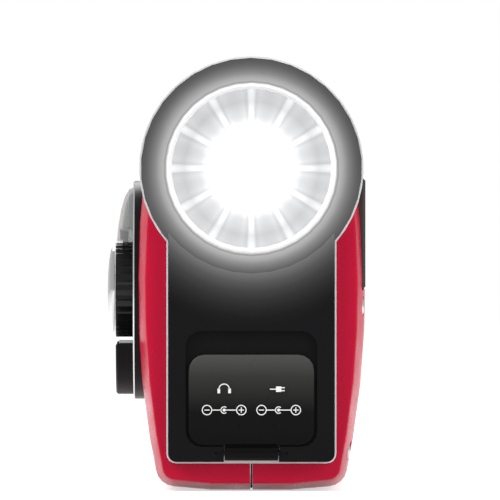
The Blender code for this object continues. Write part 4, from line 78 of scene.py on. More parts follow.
class NodeSheet:
    """A material's node tree, with short calls to add nodes and join them."""

    def __init__(self, name: str) -> None:
        """Makes the material and its shader.

        Args:
            name: the material's name.
        """
        self.material = bpy.data.materials.new(name)
        self.material.use_nodes = True
        self.tree = self.material.node_tree
        self.shader = self.tree.nodes["Principled BSDF"]
        self.output = self.tree.nodes["Material Output"]
        self.coords = self.add("ShaderNodeTexCoord").outputs["Object"]

    def add(self, kind: str, **settings: object) -> bpy.types.Node:
        """Adds a node.

        Args:
            kind: the node's type name.
            settings: attributes to set on it.

        Returns:
            The new node.
        """
        node = self.tree.nodes.new(kind)
        for key, value in settings.items():
            setattr(node, key, value)
        return node

    def join(self, source: bpy.types.NodeSocket, target: bpy.types.NodeSocket) -> None:
        """Links one socket to another."""
        self.tree.links.new(source, target)

    def set(self, **values: object) -> None:
        """Sets the shader's own sockets; an underscore in a name stands for a space."""
        for key, value in values.items():
            self.shader.inputs[key.replace("_", " ")].default_value = value

    def noise(self, scale: float, detail: float = 3.0, stretch: Sequence[float] = (1.0, 1.0,
                                                                                   1.0)) -> bpy.types.NodeSocket:
        """A noise over the object's own coordinates.

        Args:
            scale: features per metre.
            detail: octaves.
            stretch: scale factors along x, y and z.

        Returns:
            The noise's factor.
        """
        mapping = self.add("ShaderNodeMapping")
        mapping.inputs["Scale"].default_value = stretch
        self.join(self.coords, mapping.inputs["Vector"])
        texture = self.add("ShaderNodeTexNoise")
        texture.inputs["Scale"].default_value = scale
        texture.inputs["Detail"].default_value = detail
        self.join(mapping.outputs["Vector"], texture.inputs["Vector"])
        return texture.outputs["Fac"]

    def spread(self, source: bpy.types.NodeSocket, low: float, high: float) -> bpy.types.NodeSocket:
        """Maps a 0.3 to 0.7 noise onto a range of values."""
        span = self.add("ShaderNodeMapRange")
        span.inputs["From Min"].default_value = 0.3
        span.inputs["From Max"].default_value = 0.7
        span.inputs["To Min"].default_value = low
        span.inputs["To Max"].default_value = high
        self.join(source, span.inputs["Value"])
        return span.outputs["Result"]

    def blend(self, factor: bpy.types.NodeSocket, first: Color, second: Color) -> bpy.types.NodeSocket:
        """Mixes two colours by a factor and returns the result."""
        mix = self.add("ShaderNodeMix", data_type="RGBA")
        mix.inputs[6].default_value = (*first, 1.0)
        mix.inputs[7].default_value = (*second, 1.0)
        self.join(factor, mix.inputs["Factor"])
        return mix.outputs[2]

    def ramp(self, factor: bpy.types.NodeSocket, stops: Sequence[tuple[float,
                                                                       Color]]) -> bpy.types.NodeSocket:
        """A colour ramp.

        Args:
            factor: the value to look up.
            stops: places from 0 to 1 and their colours.

        Returns:
            The ramp's colour.
        """
        node = self.add("ShaderNodeValToRGB")
        points = node.color_ramp.elements
        while len(points) < len(stops):
            points.new(1.0)
        for point, (place, color) in zip(points, stops):
            point.position = place
            point.color = (*color, 1.0)
        self.join(factor, node.inputs["Fac"])
        return node.outputs["Color"]

    def math(self, operation: str, first: object, second: object = 0.0) -> bpy.types.NodeSocket:
        """A math node on two sockets or numbers; returns its value."""
        node = self.add("ShaderNodeMath", operation=operation)
        for index, value in enumerate((first, second)):
            if isinstance(value, (int, float)):
                node.inputs[index].default_value = value
            else:
                self.join(value, node.inputs[index])
        return node.outputs["Value"]

    def around(self, centre: Point, axis: str) -> tuple[bpy.types.NodeSocket, bpy.types.NodeSocket]:
        """Distance from an axis through a centre, and the angle about it.

        Args:
            centre: a point on the axis.
            axis: "X", "Y" or "Z".

        Returns:
            The radius and the angle as sockets.
        """
        shift = self.add("ShaderNodeMapping")
        shift.inputs["Location"].default_value = [-value for value in centre]
        self.join(self.coords, shift.inputs["Vector"])
        split = self.add("ShaderNodeSeparateXYZ")
        self.join(shift.outputs["Vector"], split.inputs["Vector"])
        names = [name for name in "XYZ" if name != axis]
        first, second = (split.outputs[name] for name in names)
        square = self.math("ADD", self.math("MULTIPLY", first, first), self.math("MULTIPLY", second, second))
        return self.math("SQRT", square), self.math("ARCTAN2", second, first)

    def bump(self, height: bpy.types.NodeSocket, strength: float, distance: float) -> None:
        """Adds a relief to the shader's normal, on top of the relief already there."""
        node = self.add("ShaderNodeBump")
        node.inputs["Strength"].default_value = strength
        node.inputs["Distance"].default_value = distance
        self.join(height, node.inputs["Height"])
        before = self.shader.inputs["Normal"].links
        if before:
            self.join(before[0].from_socket, node.inputs["Normal"])
        self.join(node.outputs["Normal"], self.shader.inputs["Normal"])


@dataclass(frozen=True)
class Finish:
    """A moulded or painted surface: colour, gloss, grain and small unevenness."""

    name: str
    color: Color
    roughness: float
    metallic: float = 0.0
    coat: float = 0.0
    specular: float = 0.5
    grain_scale: float = 900.0
    relief: float = 0.10
    gloss_spread: float = 0.06
    mottle: float = 0.08
    grain: Grain = Grain.NONE

    def material(self) -> bpy.types.Material:
        """Makes the material, or returns the one made before."""
        ready = bpy.data.materials.get("finish_" + self.name)
        if ready is not None:
            return ready
        sheet = NodeSheet("finish_" + self.name)
        sheet.set(Metallic=self.metallic, Coat_Weight=self.coat, Specular_IOR_Level=self.specular)
        sheet.shader.inputs["Coat Roughness"].default_value = 0.08
        sheet.join(self.paint(sheet), sheet.shader.inputs["Base Color"])
        self.texture(sheet)
        self.extra(sheet)
        return sheet.material

    def paint(self, sheet: NodeSheet) -> bpy.types.NodeSocket:
        """The colour, a little darker and lighter in slow patches."""
        dark = tuple(value * (1.0 - self.mottle) for value in self.color)
        light = tuple(min(value * (1.0 + self.mottle), 1.0) for value in self.color)
        return sheet.blend(sheet.spread(sheet.noise(45.0), 0.0, 1.0), dark, light)

    def texture(self, sheet: NodeSheet) -> None:
        """Uneven gloss, and a fine relief from the mould, the brush or the plating."""
        low = max(self.roughness - self.gloss_spread, 0.02)
        high = min(self.roughness + self.gloss_spread, 1.0)
        sheet.join(sheet.spread(sheet.noise(130.0, 4.0), low, high), sheet.shader.inputs["Roughness"])
        sheet.bump(sheet.noise(self.grain_scale, 3.0, self.grain.value), self.relief, 0.0002)

    def extra(self, sheet: NodeSheet) -> None:
        """What a finish adds beyond colour and texture; nothing here."""


@dataclass(frozen=True)
class ClearFinish(Finish):
    """A clear or smoked moulding that shows what is behind it."""

    alpha: float = 0.15

    def extra(self, sheet: NodeSheet) -> None:
        """Lets light through, and more of it reflects at a slant."""
        sheet.set(Alpha=self.alpha)


@dataclass(frozen=True)
class FacedFinish(Finish):
    """A finish that shows on the faces that look one way, with another colour on the rest."""

    toward: Point = (1.0, 0.0, 0.0)
    low: float = 0.3
    high: float = 0.7
    other: Color = (0.008, 0.008, 0.009)

    def share(self, sheet: NodeSheet) -> bpy.types.NodeSocket:
        """How much a face looks that way, from 0 to 1."""
        look = sheet.add("ShaderNodeVectorMath", operation="DOT_PRODUCT")
        look.inputs[1].default_value = self.toward
        sheet.join(sheet.add("ShaderNodeNewGeometry").outputs["Normal"], look.inputs[0])
        span = sheet.add("ShaderNodeMapRange")
        span.inputs["From Min"].default_value = self.low
        span.inputs["From Max"].default_value = self.high
        sheet.join(look.outputs["Value"], span.inputs["Value"])
        return span.outputs["Result"]

    def paint(self, sheet: NodeSheet) -> bpy.types.NodeSocket:
        """The finish's colour or the other, by where the face looks."""
        base = Finish.paint(self, sheet)
        mix = sheet.add("ShaderNodeMix", data_type="RGBA")
        mix.inputs[6].default_value = (*self.other, 1.0)
        sheet.join(base, mix.inputs[7])
        sheet.join(self.share(sheet), mix.inputs["Factor"])
        return mix.outputs[2]

    def extra(self, sheet: NodeSheet) -> None:
        """Plating only where the finish's own colour is."""
        if self.metallic > 0:
            sheet.join(self.share(sheet), sheet.shader.inputs["Metallic"])


@dataclass(frozen=True)
class CoverBlack(Finish):
    """Gloss black of the port cover with painted light: a little greyer towards its top, where the lamp's light is
    painted on.
    """

    low: float = 0.014
    high: float = 0.042
    pale: Color = (0.074, 0.074, 0.070)

    def paint(self, sheet: NodeSheet) -> bpy.types.NodeSocket:
        """The colour by height: black below, rising to a painted light grey at the top."""
        split = sheet.add("ShaderNodeSeparateXYZ")
        sheet.join(sheet.coords, split.inputs["Vector"])
        place = sheet.add("ShaderNodeMapRange")
        place.inputs["From Min"].default_value = self.low
        place.inputs["From Max"].default_value = self.high
        sheet.join(split.outputs["Z"], place.inputs["Value"])
        # dim and grey are steps of the painted light between the black and the top's grey
        dim = tuple(value * 1.6 for value in self.color)
        grey = tuple(value * 0.42 for value in self.pale)
        stops = [(0.0, self.color), (0.35, dim), (0.72, grey), (1.0, self.pale)]
        return sheet.ramp(place.outputs["Result"], stops)


@dataclass(frozen=True)
class LampBlack(Finish):
    """Glossy black with a painted glow of the lamp's light round the lens, falling to black away from it; the black
    plastic emits it, though it is no lamp.
    """

    centre: Point = (0.0, 0.0046, 0.0961)
    near: float = 0.0237
    far: float = 0.0470
    levels: tuple[float, ...] = (0.78, 0.46, 0.295, 0.165, 0.088, 0.046, 0.024, 0.011, 0.003, 0.0)

    def extra(self, sheet: NodeSheet) -> None:
        """The painted glow, emitted by distance from the lamp's axis, only on faces ahead that look towards the
        lamp end.
        """
        radius, _ = sheet.around(self.centre, "X")
        place = sheet.add("ShaderNodeMapRange")
        place.inputs["From Min"].default_value = self.near
        place.inputs["From Max"].default_value = self.far
        sheet.join(radius, place.inputs["Value"])
        last = len(self.levels) - 1
        stops = [(index / last, (level, level, level)) for index, level in enumerate(self.levels)]
        glow = sheet.ramp(place.outputs["Result"], stops)
        facing = sheet.add("ShaderNodeSeparateXYZ")
        sheet.join(sheet.add("ShaderNodeNewGeometry").outputs["Normal"], facing.inputs["Vector"])
        lit = sheet.math("MAXIMUM", facing.outputs["X"], 0.0)
        split = sheet.add("ShaderNodeSeparateXYZ")
        sheet.join(sheet.coords, split.inputs["Vector"])
        ahead = sheet.math("GREATER_THAN", split.outputs["X"], 0.0870)
        scale = sheet.add("ShaderNodeMix", data_type="RGBA")
        scale.inputs[6].default_value = (0.0, 0.0, 0.0, 1.0)
        sheet.join(glow, scale.inputs[7])
        sheet.join(sheet.math("MULTIPLY", lit, ahead), scale.inputs["Factor"])
        sheet.join(scale.outputs[2], sheet.shader.inputs["Emission Color"])
        sheet.set(Emission_Strength=1.0)


@dataclass(frozen=True)
class LitFacets(Finish):
    """Plated facets round a lit lamp, with the lamp's reflection painted on as emission: white at the heart, with
    pale spokes between grey facets.
    """

    centre: Point = (0.0, 0.0046, 0.0961)
    reach: float = 0.0250
    facets: int = 12

    def extra(self, sheet: NodeSheet) -> None:
        """The painted reflection of the lamp on the facets, emitted by distance and by place round the axis."""
        radius, angle = sheet.around(self.centre, "X")
        place = sheet.math("DIVIDE", radius, self.reach)
        wave = sheet.math("ABSOLUTE", sheet.math("SINE", sheet.math("MULTIPLY", angle, self.facets / 2)))
        painted_spokes = sheet.ramp(wave, [(0.0, (1.0, 1.0, 1.0)), (0.22, (0.80, 0.80, 0.80)), (0.38, (0.20, 0.20,
                                                                                              0.21)),
                                  (0.70, (0.42, 0.42, 0.43)), (1.0, (0.30, 0.30, 0.31))])
        # painted glare of the lamp: brightest at the heart, fading outwards
        ring = sheet.ramp(place, [(0.0, (3.0, 3.0, 3.0)), (0.44, (2.2, 2.2, 2.2)), (0.62, (0.95, 0.95, 0.95)),
                                  (0.80, (0.50, 0.50, 0.51)), (1.0, (0.80, 0.80, 0.80))])
        mix = sheet.add("ShaderNodeMix", data_type="RGBA", blend_type="MULTIPLY")
        mix.inputs["Factor"].default_value = 0.70
        sheet.join(ring, mix.inputs[6])
        sheet.join(painted_spokes, mix.inputs[7])
        sheet.join(mix.outputs[2], sheet.shader.inputs["Emission Color"])
        sheet.set(Emission_Strength=1.0)


@dataclass(frozen=True)
class GlowFinish(Finish):
    """A lens or dome that is lit from inside."""

    strength: float = 1.0

    def extra(self, sheet: NodeSheet) -> None:
        """Light in the finish's own colour, a little patchy."""
        bright = tuple(min(value * 1.1, 1.0) for value in self.color)
        sheet.join(sheet.blend(sheet.noise(300.0), self.color, bright), sheet.shader.inputs["Emission Color"])
        sheet.set(Emission_Strength=self.strength)


@dataclass(frozen=True)
class BoardFinish(Finish):
    """Green solder mask with a net of paler copper tracks under it."""

    def paint(self, sheet: NodeSheet) -> bpy.types.NodeSocket:
        """Mask green, lighter where a track runs."""
        cells = sheet.add("ShaderNodeTexVoronoi", feature="DISTANCE_TO_EDGE")
        cells.inputs["Scale"].default_value = 260.0
        sheet.join(sheet.coords, cells.inputs["Vector"])
        track = sheet.math("LESS_THAN", cells.outputs["Distance"], 0.07)
        pale = tuple(min(value * 1.9 + 0.02, 1.0) for value in self.color)
        return sheet.blend(track, self.color, pale)


RED = Finish("red_plastic", (0.505, 0.0035, 0.033), 0.30, specular=0.12, relief=0.03, mottle=0.04)
# the end cap's black, with the lamp's light painted on round the lens as emission
PANEL_BLACK = LampBlack("black_painted_glow", (0.0055, 0.0055, 0.0062), 0.30, specular=0.06, relief=0.04)
GLOSS_BLACK = Finish("gloss_black", (0.010, 0.010, 0.011), 0.18, specular=0.22, relief=0.04)
# the port cover's black carries painted lamp light, greyer towards its top
COVER_BLACK = CoverBlack("cover_black", (0.003, 0.003, 0.0032), 0.32, specular=0.06, relief=0.05)
SATIN_BLACK = Finish("satin_black", (0.018, 0.018, 0.020), 0.42, specular=0.40, relief=0.16)
POD_BLACK = Finish("pod_black", (0.008, 0.008, 0.009), 0.46, specular=0.05, relief=0.05)
MATT_BLACK = Finish("matt_black", (0.022, 0.022, 0.024), 0.62, specular=0.35, relief=0.25)
MOUNT_BLACK = Finish("mount_black", (0.024, 0.015, 0.014), 0.40, specular=0.35, relief=0.10)
GRIP_RUBBER = Finish("grip_rubber", (0.026, 0.026, 0.028), 0.82, specular=0.25, relief=0.45,
                     grain_scale=2200.0)
# white seal behind the end cap: its white edge is a painted highlight for the end cap's bright rim; faces that look
# back into the case are black
SEAL_PAINTED_HIGHLIGHT = FacedFinish("seal_painted_highlight", (0.84, 0.84, 0.85), 0.42, relief=0.10, mottle=0.03, low=-0.7,
                         high=-0.5)
MILKY_RIM = Finish("milky_rim", (0.84, 0.84, 0.85), 0.42, relief=0.10, mottle=0.03)
BRIGHT_PLATE = Finish("bright_plate", (0.56, 0.56, 0.58), 0.12, metallic=1.0, relief=0.03, mottle=0.03)
PLAIN_STEEL = Finish("plain_steel", (0.52, 0.52, 0.53), 0.34, metallic=1.0, relief=0.20, grain=Grain.ALONG_X)
TURNED_STEEL = Finish("turned_steel", (0.60, 0.60, 0.61), 0.28, metallic=1.0, relief=0.15,
                      grain=Grain.ALONG_Y)
SILVER_TRIM = FacedFinish("silver_trim", (0.60, 0.61, 0.62), 0.30, metallic=1.0, specular=0.08, relief=0.06,
                          toward=(0.0, -1.0, 0.0))
CLEAR = ClearFinish("clear_lens", (0.93, 0.95, 0.96), 0.05, relief=0.02, gloss_spread=0.03, mottle=0.02,
                    alpha=0.10)
SMOKED = ClearFinish("smoked_window", (0.16, 0.18, 0.17), 0.09, coat=0.4, relief=0.02, gloss_spread=0.04,
                     alpha=0.50)
# the reflector's silver, with the lamp's reflection painted on as emission
FACET_SILVER = LitFacets("facet_silver", (0.20, 0.20, 0.205), 0.20, metallic=1.0, relief=0.02, mottle=0.03)
LIT_DOME = GlowFinish("lit_dome", (1.0, 1.0, 0.98), 0.30, mottle=0.02, strength=1.6)
RED_LENS = GlowFinish("red_lens", (0.62, 0.030, 0.025), 0.22, strength=0.12)
DIAL_FACE = Finish("dial_face", (0.022, 0.022, 0.024), 0.46, relief=0.08)
POINTER_RED = Finish("pointer_red", (0.72, 0.05, 0.025), 0.38, relief=0.05)
CONE_PAPER = Finish("cone_paper", (0.030, 0.030, 0.029), 0.92, relief=0.70, grain_scale=1500.0, mottle=0.20)
BUTTON_GREY = Finish("button_grey", (0.33, 0.34, 0.35), 0.45, relief=0.16)
MASK_GREEN = BoardFinish("mask_green", (0.016, 0.120, 0.052), 0.36, relief=0.14)
NYLON = Finish("nylon", (0.78, 0.78, 0.73), 0.46, relief=0.12, mottle=0.04)
CELL_SLEEVE = Finish("cell_sleeve", (0.10, 0.12, 0.14), 0.28, relief=0.08, grain=Grain.ALONG_X)
PACK_SLEEVE = Finish("pack_sleeve", (0.05, 0.20, 0.42), 0.34, relief=0.35, grain_scale=420.0)
FERRITE_GREY = Finish("ferrite_grey", (0.045, 0.040, 0.038), 0.74, relief=0.50, grain_scale=1800.0)
WHITE_PRINT = Finish("white_print", (0.80, 0.80, 0.79), 0.50, relief=0.12, mottle=0.04)
GREY_PRINT = Finish("grey_print", (0.42, 0.42, 0.41), 0.52, relief=0.12, mottle=0.05)


class MeshBench:
    """Turns outlines and profiles into meshes."""

    @staticmethod
    def finish(shape: bmesh.types.BMesh, name: str, smooth: bool = True) -> bpy.types.Object:
        """Makes an object of a bmesh.

        Args:
            shape: the mesh in the row frame.
            name: the object's name.
            smooth: whether its faces shade smooth below a 40 degree crease.

        Returns:
            The object, in the scene.
        """
        bmesh.ops.recalc_face_normals(shape, faces=shape.faces)
        mesh = bpy.data.meshes.new(name)
        shape.to_mesh(mesh)
        shape.free()
        piece = bpy.data.objects.new(name, mesh)
        bpy.context.scene.collection.objects.link(piece)
        if smooth:
            for face in mesh.polygons:
                face.use_smooth = True
            mesh.set_sharp_from_angle(angle=math.radians(40))
        return piece

    @staticmethod
    def prism(shape: bmesh.types.BMesh, outline: Sequence[Point], push: Vector) -> None:
        """Adds a solid between a flat outline and its copy.

        Args:
            shape: the mesh to add to.
            outline: the points of one face in order.
            push: from that face to the other.
        """
        low = [shape.verts.new(Vector(point)) for point in outline]
        high = [shape.verts.new(Vector(point) + push) for point in outline]
        shape.faces.new(low)
        shape.faces.new(list(reversed(high)))
        count = len(outline)
        for index in range(count):
            after = (index + 1) % count
            shape.faces.new((low[index], high[index], high[after], low[after]))

    @staticmethod
    def turned(profile: Sequence[Flat], start: Vector, axis: Vector, steps: int) -> bmesh.types.BMesh:
        """Turns a profile of (radius, distance along the axis) about an axis.

        Args:
            profile: points from the axis round to the axis, or a closed ring off it.
            start: where distance is 0.
            axis: the axis's direction.
            steps: divisions round it.

        Returns:
            The solid.
        """
        shape = bmesh.new()
        side = axis.orthogonal().normalized()
        other = axis.cross(side).normalized()
        rings = []
        for radius, along in profile:
            middle = start + axis * along
            if radius == 0:
                rings.append([shape.verts.new(middle)] * steps)
                continue
            turns = [math.tau * index / steps for index in range(steps)]
            rings.append([shape.verts.new(middle + side * radius * math.cos(turn) + other * radius * math.sin(turn))
                          for turn in turns])
        count = len(rings)
        closed = profile[0][0] > 0
        for index in range(count if closed else count - 1):
            low, high = rings[index], rings[(index + 1) % count]
            for step in range(steps):
                after = (step + 1) % steps
                corners = [low[step], low[after], high[after], high[step]]
                face = list(dict.fromkeys(corners))
                if len(face) > 2:
                    shape.faces.new(face)
        return shape


@dataclass
class SubAssembly:
    """A group of solids that are dressed together."""

    made: list[str] = field(default_factory=list)

    def dress(self, node: str, finish: Finish, edge: float = 0.0) -> None:
        """Gives a solid its finish, smooth curves and eased edges.

        Args:
            node: the solid's name.
            finish: its finish.
            edge: width of its eased edges, 0 for none.
        """
        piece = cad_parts[node]
        piece.data.materials.clear()
        piece.data.materials.append(finish.material())
        if "custom_normal" in piece.data.attributes:
            piece.data.attributes.remove(piece.data.attributes["custom_normal"])
        for face in piece.data.polygons:
            face.use_smooth = True
        weld = piece.modifiers.new("weld", "WELD")
        weld.merge_threshold = 0.00001
        if edge > 0:
            flat = piece.modifiers.new("flat", "DECIMATE")
            flat.decimate_type = "DISSOLVE"
            flat.angle_limit = math.radians(0.6)
            ease = piece.modifiers.new("ease", "BEVEL")
            ease.width = edge
            ease.segments = 2
            ease.limit_method = "ANGLE"
            ease.angle_limit = math.radians(38)
            ease.use_clamp_overlap = True
            ease.miter_outer = "MITER_ARC"
        crease = piece.modifiers.new("crease", "NODES")
        crease.node_group = crease_group()
        weight = piece.modifiers.new("weight", "WEIGHTED_NORMAL")
        weight.keep_sharp = True
        self.made.append(node)

    def add(self, piece: bpy.types.Object, body: str, slot: str, finish: Finish) -> bpy.types.Object:
        """Gives a made piece its finish and rides it on a body.

        Args:
            piece: the piece, in place.
            body: the body that it moves with.
            slot: the record's material slot that it would take its finish from; not used.
            finish: its finish.

        Returns:
            The piece.
        """
        piece.data.materials.clear()
        piece.data.materials.append(finish.material())
        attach(piece, body)
        self.made.append(piece.name)
        return piece

    def report(self) -> None:
        """Logs each piece of this group."""
        for name in self.made:
            LOG.info("%s: %s", type(self).__name__, name)


def crease_group() -> bpy.types.NodeTree:
    """A modifier that shades smooth, apart from edges sharper than 33 degrees."""
    ready = bpy.data.node_groups.get("crease_by_angle")
    if ready is not None:
        return ready
    group = bpy.data.node_groups.new("crease_by_angle", "GeometryNodeTree")
    group.interface.new_socket("Geometry", in_out="INPUT", socket_type="NodeSocketGeometry")
    group.interface.new_socket("Geometry", in_out="OUTPUT", socket_type="NodeSocketGeometry")
    first = group.nodes.new("NodeGroupInput")
    last = group.nodes.new("NodeGroupOutput")
    smooth = group.nodes.new("GeometryNodeSetShadeSmooth")
    sharp = group.nodes.new("GeometryNodeSetShadeSmooth")
    sharp.domain = "EDGE"
    sharp.inputs["Shade Smooth"].default_value = False
    angle = group.nodes.new("GeometryNodeInputMeshEdgeAngle")
    over = group.nodes.new("FunctionNodeCompare")
    over.data_type = "FLOAT"
    over.operation = "GREATER_THAN"
    over.inputs[1].default_value = math.radians(33)
    group.links.new(angle.outputs["Unsigned Angle"], over.inputs[0])
    group.links.new(first.outputs[0], smooth.inputs["Geometry"])
    group.links.new(smooth.outputs[0], sharp.inputs["Geometry"])
    group.links.new(over.outputs["Result"], sharp.inputs["Selection"])
    group.links.new(sharp.outputs[0], last.inputs[0])
    return group


@dataclass
class PrintShop:
    """Thin printed marks that lie on a face."""

    thickness: float = 0.00006

    def frame_of(self, facing: Facing, at: Point) -> Matrix:
        """The place of flat work that looks a way, with its x to the reader's right."""
        turn = Matrix.Rotation(facing.value[2], 4, "Z") @ Matrix.Rotation(facing.value[0], 4, "X")
        return Matrix.Translation(Vector(at)) @ turn

    def shapes(self, name: str, outlines: Sequence[Sequence[Flat]], facing: Facing,
               at: Point) -> bpy.types.Object:
        """Prints filled outlines.

        Args:
            name: the piece's name.
            outlines: flat outlines in metres, x right and y up, seen by the reader.
            facing: the way that they look.
            at: where their origin lies.

        Returns:
            The marks as one object.
        """
        shape = bmesh.new()
        place = self.frame_of(facing, at)
        push = place.to_3x3() @ Vector((0.0, 0.0, self.thickness))
        for outline in outlines:
            MeshBench.prism(shape, [place @ Vector((x, y, 0.0)) for x, y in outline], push)
        return MeshBench.finish(shape, name, smooth=False)

    def words(self, name: str, text: str, size: float, facing: Facing, at: Point,
              turn: float = 0.0) -> bpy.types.Object:
        """Prints generic lettering, such as a number.

        Args:
            name: the piece's name.
            text: what it says.
            size: the letters' height.
            facing: the way that it looks.
            at: its middle.
            turn: its turn in its own plane.

        Returns:
            The lettering as a mesh.
        """
        curve = bpy.data.curves.new(name, "FONT")
        curve.body = text
        curve.size = size * 1.38
        curve.align_x = "CENTER"
        curve.align_y = "CENTER"
        curve.extrude = self.thickness
        curve.resolution_u = 2
        source = bpy.data.objects.new(name + "_curve", curve)
        bpy.context.scene.collection.objects.link(source)
        mesh = bpy.data.meshes.new_from_object(source)
        bpy.data.objects.remove(source)
        mesh.transform(self.frame_of(facing, at) @ Matrix.Rotation(turn, 4, "Z"))
        mesh.name = name
        piece = bpy.data.objects.new(name, mesh)
        bpy.context.scene.collection.objects.link(piece)
        return piece

    @staticmethod
    def ring(radius: float, width: float, centre: Flat = (0.0, 0.0), steps: int = 24) -> list[list[Flat]]:
        """A ring as small quadrilateral outlines."""
        outlines = []
        for index in range(steps):
            low, high = math.tau * index / steps, math.tau * (index + 1) / steps
            outlines.append([(centre[0] + r * math.cos(a), centre[1] + r * math.sin(a))
                             for r, a in ((radius, low), (radius, high), (radius - width, high),
                                          (radius - width, low))])
        return outlines

    @staticmethod
    def bar(low: Flat, high: Flat) -> list[Flat]:
        """A rectangle's outline."""
        return [(low[0], low[1]), (high[0], low[1]), (high[0], high[1]), (low[0], high[1])]

    @staticmethod
    def disc(radius: float, centre: Flat = (0.0, 0.0), steps: int = 16) -> list[Flat]:
        """A disc's outline."""
        return [(centre[0] + radius * math.cos(math.tau * i / steps),
                 centre[1] + radius * math.sin(math.tau * i / steps))
                for i in range(steps)]


PRINT = PrintShop()
CASE_MIDDLE_Y = 0.0046
CASE_HALF_DEPTH = 0.034
BOW_RADIUS = 0.277
BOW_HEIGHT = 0.060


def wall_reach(height: float) -> float:
    """How far the case's bowed walls stand from its middle plane at a height."""
    bow = BOW_RADIUS - math.sqrt(BOW_RADIUS ** 2 - (height - BOW_HEIGHT) ** 2)
    return CASE_HALF_DEPTH - bow


@dataclass
class CaseShells(SubAssembly):
    """The red clamshell, its screws and the white seal before the lamp end, whose white edge is a painted highlight
    round the end cap.
    """

    head_radius: float = 0.0028
    head_rise: float = 0.0005
    recess_reach: float = 0.0016
    recess_width: float = 0.0005
    recess_depth: float = 0.0009
    steps: int = 32
    strip_inset: float = 0.0010
    strip_width: float = 0.0009
    strip_thickness: float = 0.0006
    strip_front_top: float = 0.0120
    strip_top_end: float = 0.0300

    def build(self) -> None:
        """Dresses the shells and makes the screws."""
        self.dress("front_shell", RED, 0.0004)
        self.dress("rear_shell", RED, 0.0004)
        # the seal's white edge round the end cap is a painted highlight
        self.dress("cap_gasket", SEAL_PAINTED_HIGHLIGHT)
        for number in range(1, 5):
            self.screw(number)
        self.seam_strip()

    def seam_strip(self) -> None:
        """A thin dark strip in the split between the shells, inside their walls, so that no light shows through."""
        front_low, front_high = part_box("front_shell")
        rear_low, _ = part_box("rear_shell")
        split = (front_high.y + rear_low.y) / 2
        outer = self.strip_inset
        inner = outer + self.strip_width
        left, right = front_low.x, front_high.x
        bottom, top = front_low.z, front_high.z
        bars = [(left + outer, right - outer, bottom + outer, bottom + inner),
                (left + outer, left + inner, bottom + outer, top - outer),
                (right - inner, right - outer, bottom + outer, self.strip_front_top),
                (left + outer, self.strip_top_end, top - inner, top - outer)]
        shape = bmesh.new()
        for x_low, x_high, z_low, z_high in bars:
            outline = [(x, split - self.strip_thickness / 2, z)
                       for x, z in ((x_low, z_low), (x_high, z_low), (x_high, z_high), (x_low, z_high))]
            MeshBench.prism(shape, outline, Vector((0.0, self.strip_thickness, 0.0)))
        self.add(MeshBench.finish(shape, "seam_strip", smooth=False), "case", "black_satin", SATIN_BLACK)

    def screw(self, number: int) -> None:
        """A pan head screw with a cross recess, in place of the plain one.

        Args:
            number: which of the four.
        """
        node = f"case_screw_{number}"
        low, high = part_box(node)
        middle = (low + high) / 2
        reach = high.y - low.y
        head, shank = self.head_radius - 0.00005, self.head_radius * 0.5
        profile = [(0.0, 0.0), (head * 0.55, -self.head_rise * 0.15), (head * 0.85, -self.head_rise * 0.5),
                   (head, -self.head_rise * 1.2), (head, -self.head_rise * 3), (shank, -self.head_rise * 3.1),
                   (shank, -reach + shank), (0.0, -reach)]
        body = MeshBench.finish(MeshBench.turned(profile, Vector((middle.x, high.y, middle.z)),
                                                 Vector((0.0, 1.0, 0.0)),
                                                 self.steps), f"screw_{number}")
        cutter = bmesh.new()
        for wide, tall in ((self.recess_reach, self.recess_width), (self.recess_width, self.recess_reach)):
            outline = [(middle.x + x * wide, high.y - self.recess_depth, middle.z + z * tall)
                       for x, z in ((-1, -1), (1, -1), (1, 1), (-1, 1))]
            MeshBench.prism(cutter, outline, Vector((0.0, self.recess_depth * 2, 0.0)))
        tool = MeshBench.finish(cutter, "recess_tool", smooth=False)
        recess = body.modifiers.new("recess", "BOOLEAN")
        recess.operation = "DIFFERENCE"
        recess.object = tool
        recess.solver = "EXACT"
        recess.use_self = True
        bpy.context.view_layer.update()
        mesh = bpy.data.meshes.new_from_object(body.evaluated_get(bpy.context.evaluated_depsgraph_get()))
        body.modifiers.clear()
        body.data = mesh
        bpy.data.objects.remove(tool)
        self.add(body, "case", "steel", TURNED_STEEL)
        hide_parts(node)


